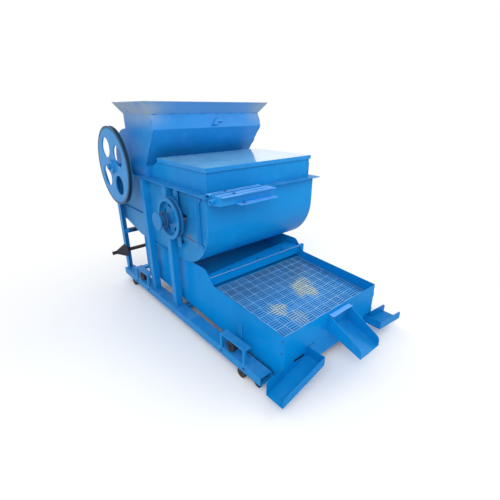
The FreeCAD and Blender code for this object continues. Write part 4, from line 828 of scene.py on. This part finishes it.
def bead(start: Point, end: Point, radius: float, seed: int, pitch: float = 0.0055) -> Surface:
    """Lay a weld bead between two points.

    Args:
        start: first point.
        end: last point.
        radius: half the bead's width.
        seed: starts the small random wander of the bead.
        pitch: distance between the ripples.

    Returns:
        A tube whose radius at distance u is radius times (0.86 + 0.14 |sin(pi u / pitch)|), tapered at
        both ends, and whose centre wanders by a few tenths of a millimetre.
    """
    begin, finish = np.asarray(start, float), np.asarray(end, float)
    length = float(np.linalg.norm(finish - begin))
    count = max(6, int(length / pitch * 2) + 1)
    share = np.linspace(0, 1, count)
    frame = axes_for(finish - begin)
    wander = np.random.default_rng(seed).normal(0, radius * 0.07, (count, 2))
    taper = np.clip(np.minimum(share, 1 - share) * length / (radius * 1.2), 0.25, 1) ** 0.5
    size = radius * taper * (0.86 + 0.14 * np.abs(np.sin(math.pi * share * length / pitch)))
    middle = begin + share[:, None] * (finish - begin) + wander @ frame[:, :2].T
    return swept(middle[:, None, :] + size[:, None, None] * spokes(frame[:, 0], frame[:, 1]))


def rolled(corners: Sequence[Point], radius: float, bend: float, steps: int = 6) -> Surface:
    """Carry a round wire round a closed loop of corners with rounded bends.

    Args:
        corners: the loop's corner points, level.
        radius: the wire's radius.
        bend: how far before each corner its bend begins.
        steps: points along a bend.

    Returns:
        A closed ring: each bend is the quadratic curve from before the corner, pulled by the corner, to
        after it, and a circle is carried round in the plane of the outward normal and Z.
    """
    points = np.asarray(corners, float)
    entry, leave = (points + unit(np.roll(points, shift, axis=0) - points) * bend for shift in (1, -1))
    t = np.linspace(0, 1, steps)[None, :, None]
    path = (1 - t) ** 2 * entry[:, None] + 2 * t * (1 - t) * points[:, None] + t**2 * leave[:, None]
    path = path.reshape(-1, 3)
    ahead = unit(np.roll(path, -1, axis=0) - np.roll(path, 1, axis=0))
    up = np.array(UP)
    return swept(path[:, None, :] + radius * spokes(np.cross(ahead, up), up), closed=True)


def unit(vectors: np.ndarray) -> np.ndarray:
    """Bring each row to length 1."""
    return vectors / np.linalg.norm(vectors, axis=1)[:, None]


@dataclass
class Gathered:
    """Small shapes of one kind, gathered by the body that they move with."""

    parts: dict[str, list[Surface]] = field(default_factory=dict)

    def keep(self, body: str, shapes: Sequence[Surface]) -> None:
        """Keep shapes for a body."""
        self.parts.setdefault(body, []).extend(shapes)

    def finish(self, kind: str, material: Material, slot: Slot, smooth: float) -> None:
        """Make one piece for each body.

        Args:
            kind: what the pieces are called after their body.
            material: their finish.
            slot: the record's material slot.
            smooth: edges sharper than this many degrees stay sharp.
        """
        for body, shapes in self.parts.items():
            Surface.joined(shapes).piece(f"{body}_{kind}", material, body, slot, smooth)


@dataclass
class Hardware(Gathered):
    """Bolts, washers and grease nipples, each standing on its local origin."""

    head_radius: float = 0.0085
    head_height: float = 0.0075

    def bolt(self, scale: float = 1.0) -> Surface:
        """Make a washer and a chamfered hexagon head with a shallow dish on it."""
        r, h = self.head_radius * scale, self.head_height * scale
        washer = turned([(r * 1.35, -0.001), (r * 1.35, 0.0016), (r * 1.25, 0.002), (r * 0.4, 0.002)])
        head = [(r * 0.9, 0.0018), (r, 0.003), (r, h), (r * 0.88, h + 0.0016), (r * 0.3, h + 0.0012)]
        return Surface.joined([washer, turned(head, 24, 6)])

    def nut(self, scale: float = 1.0) -> Surface:
        """Make a washer, a nut and the bolt's end standing out of it."""
        r, h = self.head_radius * scale, self.head_height * scale
        end = turned([(r * 0.5, h), (r * 0.5, h * 1.7), (r * 0.4, h * 1.8)], 14)
        return Surface.joined([self.bolt(scale), end])

    def nipple(self) -> Surface:
        """Make a grease nipple: a small hexagon foot, a cone and a ball end."""
        foot = turned([(0.004, -0.001), (0.004, 0.004), (0.0035, 0.0046)], 12, 6)
        ball = [(0.0028, 0.004), (0.0022, 0.008), (0.003, 0.0095), (0.0032, 0.011), (0.0022, 0.0128)]
        return Surface.joined([foot, turned(ball, 12)])

    def rivet(self) -> Surface:
        """Make a domed rivet head."""
        return turned([(0.005, -0.0005), (0.0048, 0.001), (0.0038, 0.0022), (0.0018, 0.003)], 12)

    def set(self, shape: Surface, places: Sequence[Point], direction: Point, body: str = "frame") -> None:
        """Set copies of a shape on a body.

        Args:
            shape: the fastener.
            places: where its foot stands.
            direction: the way its local Z points.
            body: the body they move with.
        """
        spots = np.asarray(places, float).reshape(-1, 3)
        self.keep(body, [shape.copies(spots, np.repeat(axes_for(direction)[None], len(spots), axis=0))])


@dataclass
class Welds(Gathered):
    """Weld beads, whose seed moves on with every run."""

    radius: float = 0.0032
    seam: float = 0.038
    gap: float = 0.085
    seed: int = 11
    seed_step: int = 17

    def run(self, start: Point, end: Point, whole: bool = False, body: str = "frame") -> None:
        """Weld along a line, in stitches or in one whole bead."""
        self.seed += self.seed_step
        laid = [bead(start, end, self.radius, self.seed)] if whole else self.stitches(start, end)
        self.keep(body, laid)

    def stitches(self, start: Point, end: Point) -> list[Surface]:
        """Lay short beads along a joint, one seam long and a gap apart."""
        begin, finish = np.asarray(start, float), np.asarray(end, float)
        length = float(np.linalg.norm(finish - begin))
        along, pitch = (finish - begin) / length, self.seam + self.gap
        count = max(1, int((length + self.gap) / pitch))
        spare = (length - count * self.seam - (count - 1) * self.gap) / 2
        laid = []
        for index in range(count):
            low = spare + index * pitch
            ends = (begin + along * low, begin + along * (low + self.seam))
            laid.append(bead(*ends, self.radius, self.seed + index))
        return laid


@dataclass
class Sieve:
    """The sloping sieve plate with its basket pattern of slots."""

    weave: Weave = Weave()
    thickness: float = 0.002
    front_lift: float = 0.0025
    slots: int = 4
    slot_share: float = 0.094
    bar_share: float = 0.180
    reach_share: float = 0.84
    merge: float = 0.00005

    def cell(self) -> Surface:
        """Make one unit square of plate with slots along X.

        Returns:
            Corner points of the square, then each slot's edge points. The lands at both ends of the slots
            are polygons that take in all the slots' ends, so that neighbours share only the corners.
        """
        pack = self.slots * self.slot_share + (self.slots - 1) * self.bar_share
        starts = (1 - pack) / 2 + np.arange(self.slots) * (self.slot_share + self.bar_share)
        edges = np.sort(np.concatenate([starts, starts + self.slot_share]))
        corners = np.array([[0, 0], [1, 0], [1, 1], [0, 1]], float)
        reaches = ((1 - self.reach_share) / 2, (1 + self.reach_share) / 2)
        ends = [np.stack([np.full(len(edges), x), edges], axis=1) for x in reaches]
        flat = np.concatenate([corners, *ends])
        count, offset = len(edges), len(flat)
        first, last = len(corners), len(corners) + count
        strips = [[first + k, first + k + 1, last + k + 1, last + k] for k in range(count - 1)]
        lands: list[list[int]] = [
            [0, *range(first, first + count), 3],
            [2, *range(last + count - 1, last - 1, -1), 1],
            [0, 1, last, first],
            [3, first + count - 1, last + count - 1, 2],
        ]
        top = lands + strips[1::2]
        under = [[index + offset for index in polygon[::-1]] for polygon in top]
        sides = [pair for ring in strips[::2] for pair in zip(ring, ring[1:] + ring[:1])]
        polygons = top + under + [[a, b, b + offset, a + offset] for a, b in sides]
        points = np.concatenate([np.c_[flat, np.zeros(offset)], np.c_[flat, -np.ones(offset)]])
        return Surface(points, np.concatenate(polygons), np.array([len(polygon) for polygon in polygons]))

    def plate(self, front: float, rear: float) -> Surface:
        """Tile the cells, every second one turned, and lay them on the slope.

        Args:
            front: height of the plate's top at the front.
            rear: its height at the rear.

        Returns:
            The plate; a point's height is the line between the two, less the thickness on the underside.
        """
        weave = self.weave
        column, row = np.meshgrid(np.arange(weave.columns), np.arange(weave.rows), indexing="ij")
        column, row = column.ravel(), row.ravel()
        crossed = (column + row) % 2 == 0
        quarter = np.array([[0.0, -1.0, 0.0], [1.0, 0.0, 0.0], [0.0, 0.0, 1.0]])
        turns = np.where(crossed[:, None, None], quarter, np.eye(3))
        places = np.stack([column + crossed, row, np.zeros(len(row))], axis=1).astype(float)
        sheet = self.cell().copies(places, turns)
        across, along, depth = sheet.points.T
        x = -weave.half_width + across * weave.side
        y = station(weave.front) + along * weave.length
        z = front + (rear - front) * along / weave.rows + depth * self.thickness
        return Surface(np.stack([x, y, z], axis=1), sheet.loops, sheet.sizes)

    def build(self, material: Material) -> None:
        """Make the plate in place of the plain one, with its seams merged."""
        low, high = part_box("sieve")
        plate = self.plate(low.z + self.front_lift, high.z)
        made = plate.piece("sieve_plate", material, "tray", Slot.PAINT, smooth=30)
        outward(made.data, self.merge)
        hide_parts("sieve")


@dataclass
class Hopper:
    """Hopper body, rim and drum cover."""

    collar_front: float = 1.228
    collar_top: float = 1.423
    collar_inset: float = 0.02
    fold: float = 1.193
    fold_level: float = 1.331
    slope_foot: float = 1.372
    slope_level: float = 1.083
    foot_level: float = 1.002
    foot_seams: tuple[Pair, ...] = ((1.24, 1.56), (1.76, 1.90))
    rim_top: float = 1.500
    rim_bend: float = 0.02
    wire: float = 0.0035
    wire_sunk: float = 0.6
    buried: float = 0.001

    def build(self, welds: Welds, paint: Material) -> None:
        """Roll the rim's edge over a wire and weld the corners of the sheets."""
        low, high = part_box("hopper_rim")
        inset = self.wire * self.wire_sunk
        left, right, near, far = low.x + inset, high.x - inset, low.y + inset, high.y - inset
        level = self.rim_top - self.wire
        loop = [(left, near, level), (right, near, level), (right, far, level), (left, far, level)]
        rolled(loop, self.wire, self.rim_bend).piece("rim_wire", paint, "frame", Slot.PAINT, smooth=60)
        for side in SIDES:
            x = side * (BODY_HALF - self.buried)
            fold = (x, station(self.fold), self.fold_level)
            welds.run(fold, (x, station(self.collar_front), self.collar_top - self.wire))
            welds.run(fold, (x, station(self.slope_foot) - self.wire, self.slope_level))
            outside = side * (BODY_HALF + self.buried)
            for seam in self.foot_seams:
                welds.run(*((outside, station(end), self.foot_level) for end in seam))
        front, reach = station(self.collar_front) - self.buried, BODY_HALF - self.collar_inset
        welds.run((-reach, front, self.collar_top), (reach, front, self.collar_top))


@dataclass
class Body:
    """Side plates, casing, cover box and frame."""

    top: float = 0.995
    buried: float = 0.001
    post_stations: tuple[float, ...] = (1.010, 1.352, 1.875)
    post_width: float = 0.050
    post_outer: float = 0.5205
    post_foot: float = 0.1065
    post_inset: float = 0.004
    seam_levels: Pair = (0.62, 0.965)
    seam_proud: float = 0.0015
    guide_stations: tuple[float, ...] = (0.70, 0.84, 0.98)
    guide_levels: Pair = (0.6665, 0.9736)
    ledge_run: Pair = (1.07, 1.34)
    ledge_level: float = 0.5065
    ledge_proud: float = 0.0005
    rivet_levels: Pair = (0.822, 0.978)
    rivet_inset: float = 0.03
    rivet_count: int = 9
    cover_insets: Pair = (0.02, 0.08)
    corner_insets: Pair = (0.006, 0.03)
    front_inset: float = 0.016
    screw_inset: float = 0.012
    screw_level: float = 1.112

    def build(self, welds: Welds, hardware: Hardware) -> None:
        """Weld posts and cover box, and rivet the shutter guides and the rear plate."""
        for side in SIDES:
            self.posts(welds, side)
            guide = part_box("shutter_guides")[1].x
            spots = [(side * guide, station(s), z) for s in self.guide_stations for z in self.guide_levels]
            hardware.set(hardware.rivet(), spots, (side, 0, 0))
            face = side * (BODY_HALF + self.ledge_proud)
            welds.run(*((face, station(end), self.ledge_level) for end in self.ledge_run))
        self.cover(welds, hardware)
        low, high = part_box("rear_plates")
        across = np.linspace(low.x + self.rivet_inset, high.x - self.rivet_inset, self.rivet_count)
        hardware.set(hardware.rivet(), [(x, high.y, z) for x in across for z in self.rivet_levels], (0, 1, 0))

    def posts(self, welds: Welds, side: float) -> None:
        """Weld the posts of one side to plate, rail and top angle."""
        face, outer = side * (BODY_HALF + self.seam_proud), side * self.post_outer
        for distance in self.post_stations:
            y = station(distance)
            for edge in (y, y + self.post_width):
                welds.run(*((face, edge, level) for level in self.seam_levels))
            ends = (y + self.post_inset, y + self.post_width - self.post_inset)
            for level in (self.post_foot, self.top - self.buried):
                welds.run(*((outer, end, level) for end in ends), whole=True)

    def cover(self, welds: Welds, hardware: Hardware) -> None:
        """Weld the cover box to the top and up its front corners, and screw these to the lid's lip."""
        low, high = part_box("cover_box")
        foot, front = low.z + self.buried, low.y - self.buried
        for side in SIDES:
            x = high.x * side
            outside = x + side * self.buried
            near, far = self.cover_insets
            welds.run((outside, low.y + near, foot), (outside, high.y - far, foot))
            below, above = self.corner_insets
            welds.run((x, low.y, low.z + below), (x, low.y, high.z - above), whole=True)
            screw = (x - side * self.screw_inset, low.y, self.screw_level)
            hardware.set(hardware.rivet(), [screw], (0, -1, 0))
        welds.run((low.x + self.front_inset, front, foot), (high.x - self.front_inset, front, foot))


@dataclass
class Bearings:
    """Pillow blocks and flange bearings."""

    pillow_x: float = 0.492
    pillow_pitch: float = 0.059
    pillow_top: float = 1.018
    pillow_crown: float = 1.102
    pillow_nut: float = 1.15
    flange_x: float = 0.509
    flange_pitch: float = 0.049
    flange_crown: float = 0.8545
    flange_out: float = 0.006

    def build(self, hardware: Hardware) -> None:
        """Set the bolts and grease nipples of every bearing."""
        drum_y, (fan_y, fan_level) = DRUM_AXIS[0], FAN_AXIS
        for side in SIDES:
            x = side * self.pillow_x
            pillars = [(x, drum_y + end * self.pillow_pitch, self.pillow_top) for end in SIDES]
            hardware.set(hardware.nut(self.pillow_nut), pillars, UP)
            hardware.set(hardware.nipple(), [(x, drum_y, self.pillow_crown)], UP)
            x = side * self.flange_x
            ears = [(x, fan_y, fan_level + end * self.flange_pitch) for end in SIDES]
            hardware.set(hardware.nut(), ears, (side, 0, 0))
            hardware.set(hardware.nipple(), [(x + side * self.flange_out, fan_y, self.flange_crown)], UP)


@dataclass
class Tray:
    """Shaking tray with its chutes and troughs."""

    half: float = 0.440
    strip_x: float = 0.426
    strip_slope: float = 0.0879
    strip_insets: Pair = (0.04, 0.05)
    strip_screws: int = 6
    bolt_scale: float = 0.55
    corner_bolts: tuple[Pair, ...] = ((0.012, 0.334), (0.017, 0.253))
    front_bolts: tuple[Pair, ...] = ((-0.190, 0.204), (-0.223, 0.207))
    corner_proud: float = 0.0005
    corner_insets: Pair = (0.02, 0.008)
    chute_proud: float = 0.001
    chute_levels: Pair = (0.215, 0.33)
    edge_wire: float = 0.0018
    edge_end: float = 0.002
    edge_drawn: float = 0.6
    edge_sunk: float = 0.3

    def build(self, welds: Welds, hardware: Hardware, worn: Material) -> None:
        """Weld the corners and the chute, set screws and bolts, and bare the deflector's front edge."""
        low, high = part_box("tray_front_wall")
        self.strips(hardware)
        bolt = hardware.bolt(self.bolt_scale)
        below, above = self.corner_insets
        for side in SIDES:
            x, y = side * (self.half + self.corner_proud), low.y + self.corner_proud
            welds.run((x, y, low.z + below), (x, y, high.z - above), body="tray")
            corners = [(side * self.half, station(s), z) for s, z in self.corner_bolts]
            hardware.set(bolt, corners, (side, 0, 0), "tray")
        hardware.set(bolt, [(x, low.y, z) for x, z in self.front_bolts], (0, -1, 0), "tray")
        chute_low, chute_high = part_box("centre_chute")
        y = low.y - self.chute_proud
        for x in (chute_low.x - self.chute_proud, chute_high.x + self.chute_proud):
            welds.run(*((x, y, level) for level in self.chute_levels), body="tray")
        self.edge(worn)

    def strips(self, hardware: Hardware) -> None:
        """Screw down the strips along both sides of the sieve, square to their slope."""
        low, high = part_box("sieve_frame")
        near, far = self.strip_insets
        screws = np.linspace(low.y + near, high.y - far, self.strip_screws)
        for side in SIDES:
            spots = [(side * self.strip_x, y, high.z - self.strip_slope * (high.y - y)) for y in screws]
            hardware.set(hardware.rivet(), spots, (0, -self.strip_slope, 1), "tray")

    def edge(self, worn: Material) -> None:
        """Lay the rubbed edge of the deflector: a round bar whose ends are drawn in."""
        low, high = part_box("deflector")
        wire, end = self.edge_wire, self.edge_end
        tip, reach = wire * self.edge_drawn, high.x - low.x - 2 * end
        bar = turned([(tip, 0.0), (wire, end), (wire, reach - end), (tip, reach)], 10)
        place = np.array([[low.x + end, low.y + wire, high.z - wire * self.edge_sunk]])
        laid = bar.copies(place, axes_for((1, 0, 0))[None])
        laid.piece("deflector_edge", worn, "tray", Slot.WORN, smooth=60)


@dataclass(frozen=True)
class Lamp:
    """A square soft lamp."""

    name: str
    place: Triple
    size: float
    power: float


@dataclass
class Studio:
    """Pale floor, soft lamps and the camera at the photograph's place."""

    place: Triple = (-1.505, -1.8105, 1.458)
    yaw: float = 40.794
    pitch: float = 23.608
    roll: float = -0.087
    focal: float = 334.62
    shift: Pair = (0.0019, 0.0090)
    frame_pixels: float = 500.0
    sensor: float = 36.0
    clip: float = 100.0
    aim: Triple = (0.0, 0.0, 0.7)
    sky: Triple = (0.95, 0.975, 1.0)
    sky_strength: float = 0.72
    white: Triple = (1.0, 1.0, 1.0)
    floor_tint: Triple = (0.92, 0.92, 0.92)
    floor_reach: float = 40.0
    floor_shade: Pair = (1.2, 2.6)
    lamps: tuple[Lamp, ...] = (
        Lamp("key", (-3.2, -3.1, 3.8), 3.2, 142),
        Lamp("fill", (3.6, -2.0, 3.0), 3.2, 64),
        Lamp("back", (0.5, 4.5, 3.8), 3.2, 80),
    )

    def build(self) -> None:
        """Set up camera, lamps, world and floor."""
        self.camera()
        for lamp in self.lamps:
            self.hang(lamp)
        self.world()
        self.floor()
        bpy.context.scene.view_settings.view_transform = "Standard"

    def camera(self) -> None:
        """Set the camera.

        Forward is (sin yaw cos pitch, cos yaw cos pitch, -sin pitch), and right (cos yaw, -sin yaw, 0).
        """
        yaw, pitch = math.radians(self.yaw), math.radians(self.pitch)
        right = Vector((math.cos(yaw), -math.sin(yaw), 0))
        forward = Vector((math.sin(yaw) * math.cos(pitch), math.cos(yaw) * math.cos(pitch), -math.sin(pitch)))
        turn = Matrix((right, right.cross(forward), -forward)).transposed().to_4x4()
        data = bpy.data.cameras.new("camera")
        data.sensor_width = self.sensor
        data.lens = self.focal / self.frame_pixels * self.sensor
        data.shift_x, data.shift_y = self.shift
        data.clip_end = self.clip
        made = placed("camera", data)
        roll = Matrix.Rotation(math.radians(self.roll), 4, "Z")
        made.matrix_world = Matrix.Translation(self.place) @ turn @ roll
        bpy.context.scene.camera = made

    def hang(self, lamp: Lamp) -> None:
        """Hang a lamp that points at the machine's middle."""
        data = bpy.data.lights.new(lamp.name, "AREA")
        data.shape, data.size, data.energy = "SQUARE", lamp.size, lamp.power
        made = placed(lamp.name, data)
        made.location = lamp.place
        made.rotation_mode = "QUATERNION"
        made.rotation_quaternion = (Vector(self.aim) - Vector(lamp.place)).to_track_quat("-Z", "Y")

    def world(self) -> None:
        """Light evenly from all round, and show plain white to the camera and to gloss."""
        world = bpy.data.worlds.new("world")
        bpy.context.scene.world = world
        world.use_nodes = True
        graph = Graph(world.node_tree, "ShaderNodeOutputWorld")
        lit = {"Color": (*self.sky, 1.0), "Strength": self.sky_strength}
        seen = {"Color": (*self.white, 1.0), "Strength": 1.0}
        light, white = (graph.make("ShaderNodeBackground", {}, inputs).outputs[0] for inputs in (lit, seen))
        graph.finish(graph.make("ShaderNodeMixShader", {}, {0: self.seen(graph), 1: light, 2: white}))

    def seen(self, graph: Graph) -> Value:
        """Give 1 for rays from the camera, from gloss and through glass."""
        path = graph.make("ShaderNodeLightPath")
        rays = [Value(graph, path.outputs[f"Is {kind} Ray"]) for kind in ("Camera", "Glossy", "Transmission")]
        return (rays[0] + rays[1] + rays[2]).clamped()

    def floor(self) -> None:
        """Lay a pale floor that keeps the shadow near the machine and turns plain white further out."""
        corners = np.array([[-1, -1, 0], [1, -1, 0], [1, 1, 0], [-1, 1, 0]], float) * self.floor_reach
        mesh = bpy.data.meshes.new("floor")
        mesh.from_pydata(corners.tolist(), [], [(0, 1, 2, 3)])
        skin = Skin("floor_pale")
        matt = skin.make("ShaderNodeBsdfDiffuse", {}, {"Color": (*self.floor_tint, 1.0)}).outputs[0]
        glow = skin.make("ShaderNodeEmission", {}, {"Color": (*self.white, 1.0), "Strength": 1.0}).outputs[0]
        factor = (skin.x.beside(skin.y).above(*self.floor_shade) * self.seen(skin)).clamped()
        skin.finish(skin.make("ShaderNodeMixShader", {}, {0: factor, 1: matt, 2: glow}))
        mesh.materials.append(skin.material)
        made = placed("floor", mesh)


FINISHES: tuple[Union[Paint, Steel], ...] = (
    Paint("body_enamel", "cover_box fan_casing lid_hinges rear_plates side_ledges"),
    HopperPaint(
        "hopper_enamel", "hopper hopper_rim drum_cover", base=(16, 130, 206), edge_highlight_and_wear=(70, 158, 238),
        specular=0.25, haze=0.08,
    ),
    Paint(
        "frame_enamel",
        "base_rails cross_members posts top_angles roller_guides bearing_bridges connecting_straps",
        base=(8, 128, 196), dusty=0.16, worn=0.35, haze=0.06, specular=0.12,
    ),
    # The rear legs' dark region is painted shade on their tie bar.
    DarkRegionPaint(
        "leg_enamel", "rear_legs", base=(24, 134, 196), dusty=0.2, worn=0.4, haze=0.12, specular=0.12,
    ),
    # The brackets are darker on their stub axles, beyond 0.4885 from the middle.
    DarkRegionPaint(
        "bracket_enamel", "roller_brackets", half=(0.4885, 1.0), height=(0.0, 1.0), dusty=0.2, worn=0.3,
        haze=0.08,
    ),
    Paint(
        "tray_enamel",
        "tray_left_wall tray_right_wall tray_front_wall tray_rear_wall feed_deck deflector",
        base=(0, 132, 206), edge_highlight_and_wear=(16, 146, 224), dusty=0.02, haze=0.01, specular=0.04,
    ),
    Paint(
        "trough_enamel", "left_trough right_trough", base=(0, 122, 192), shade=(0, 112, 180),
        edge_highlight_and_wear=(10, 136, 212), dusty=0.02, haze=0.01, specular=0.04,
    ),
    # The chute's pale top colour is a painted highlight on its lit lip.
    ToppedPaint(
        "chute_enamel", "centre_chute", top=(110, 176, 244), top_level=0.3405, dusty=0.05, haze=0.02,
        rough=0.34,
    ),
    # The pan's darker blues are painted shade under the sieve, seen through its slots.
    Paint("pan_enamel", "tray_pan", base=(10, 70, 134), shade=(8, 52, 104), edge_highlight_and_wear=(24, 90, 150), dusty=0.3),
    Paint("strip_enamel", "sieve_frame", base=(70, 122, 172), edge_highlight_and_wear=(130, 168, 206), worn=0.5, haze=0.2),
    # The rails' pale tops are a painted highlight, and their dark lines painted shade along the slots.
    RailPaint(
        "rail_enamel", "motor_front_rail motor_rear_rail motor_low_rail motor_gussets", base=(2, 138, 212),
        top=(112, 176, 248), edge_highlight_and_wear=(30, 150, 232), specular=0.2,
    ),
    PlatePaint(
        "plate_enamel", "left_side_plate right_side_plate left_shutter right_shutter shutter_guides",
        base=(20, 126, 186), dusty=0.2, worn=0.3, haze=0.12, specular=0.12,
    ),
    # The lid's pale top colour is a painted reflection and highlight.
    LidPaint(
        "lid_enamel", "cover_lid", top=(156, 224, 255), top_smooth=0.14, dusty=0.02, worn=0.08, haze=0.0,
        rough=0.3, gloss=1.0, specular=0.3, clear=1.8, depth=0.0002,
    ),
    Casting(
        "bearing_enamel", "drum_bearings fan_bearings drum_shaft fan_shaft", base=(10, 120, 186), dusty=0.3,
        worn=0.4, haze=0.08,
    ),
    PulleyPaint(
        "drum_pulley_enamel", "drum_pulley", base=(30, 134, 200), edge_highlight_and_wear=(84, 164, 216), haze=0.15, worn=0.0,
        specular=0.2,
    ),
    PulleyPaint(
        "fan_pulley_enamel", "fan_pulley", base=(24, 126, 190), axis=FAN_AXIS, groove_radius=0.119,
        groove_side=(-0.5625, -0.5295), belt_wear_and_shade=(34, 88, 144), land=0.5, haze=0.12, worn=0.0,
    ),
    PulleyPaint(
        "step_pulley_enamel", "step_pulley", base=(30, 118, 178), axis=FAN_AXIS, groove_radius=0.030,
        groove_side=(-0.633, -0.560), belt_wear_and_shade=(36, 76, 118), land=0.7, haze=0.12, worn=0.0,
    ),
    SievePaint("sieve_enamel", "sieve", dusty=0.02, haze=0.02, worn=0.05, specular=0.3),
    Steel("shaft_steel", "beater_bars rotor_spiders fan_spiders fan_blades concave"),
    Steel("edge_steel", base=(172, 176, 190), stain=(120, 130, 150), rusty=0.1, metal=0.3, rough=0.45),
    Steel(
        "fastener_steel", "frame_bolts deflector_bolts", base=(22, 100, 160), stain=(14, 60, 104), rusty=0.15,
        metal=0.2, grain=(20, 20, 20),
    ),
    Steel(
        "roller_steel", "front_left_roller front_right_roller rear_left_roller rear_right_roller",
        base=(60, 64, 72), stain=(30, 30, 36), rusty=0.5, rough=0.55, metal=0.6,
    ),
    Steel(
        "eccentric_iron", "eccentric_shaft eccentric_bearings", base=(50, 54, 62), stain=(26, 28, 34),
        rusty=0.55, rough=0.6, metal=0.4, grain=(20, 20, 20),
    ),
    Steel(
        "foot_iron", "feet", base=(50, 54, 60), stain=(30, 30, 34), rusty=0.3, rough=0.6, metal=0.4,
        grain=(30, 30, 30),
    ),
)


@dataclass
class Dress:
    """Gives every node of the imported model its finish."""

    finishes: dict[str, Material] = field(default_factory=dict)

    def apply(self, nodes: dict[str, bpy.types.Object]) -> None:
        """Make every finish and put it on its nodes.

        Args:
            nodes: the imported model's objects by name.
        """
        left = set(nodes)
        for finish in FINISHES:
            material = finish.material()
            self.finishes[finish.name] = material
            for name in finish.nodes.split():
                mesh = nodes[name].data
                mesh.materials.clear()
                mesh.materials.append(material)
                left.discard(name)
        if left:
            log.warning("no finish for %s", sorted(left))


def main() -> None:
    """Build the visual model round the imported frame."""
    logging.basicConfig(level=logging.INFO, format="%(name)s: %(message)s")
    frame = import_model()
    Studio().build()
    dress = Dress()
    dress.apply(frame["nodes"])
    finishes = dress.finishes
    welds, hardware = Welds(), Hardware()
    Sieve().build(finishes["sieve_enamel"])
    Hopper().build(welds, finishes["hopper_enamel"])
    Body().build(welds, hardware)
    Bearings().build(hardware)
    Tray().build(welds, hardware, finishes["edge_steel"])
    welds.finish("welds", finishes["frame_enamel"], Slot.PAINT, smooth=70)
    hardware.finish("fasteners", finishes["fastener_steel"], Slot.WORN, smooth=35)
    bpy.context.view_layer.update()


if __name__ == "__main__":
    main()
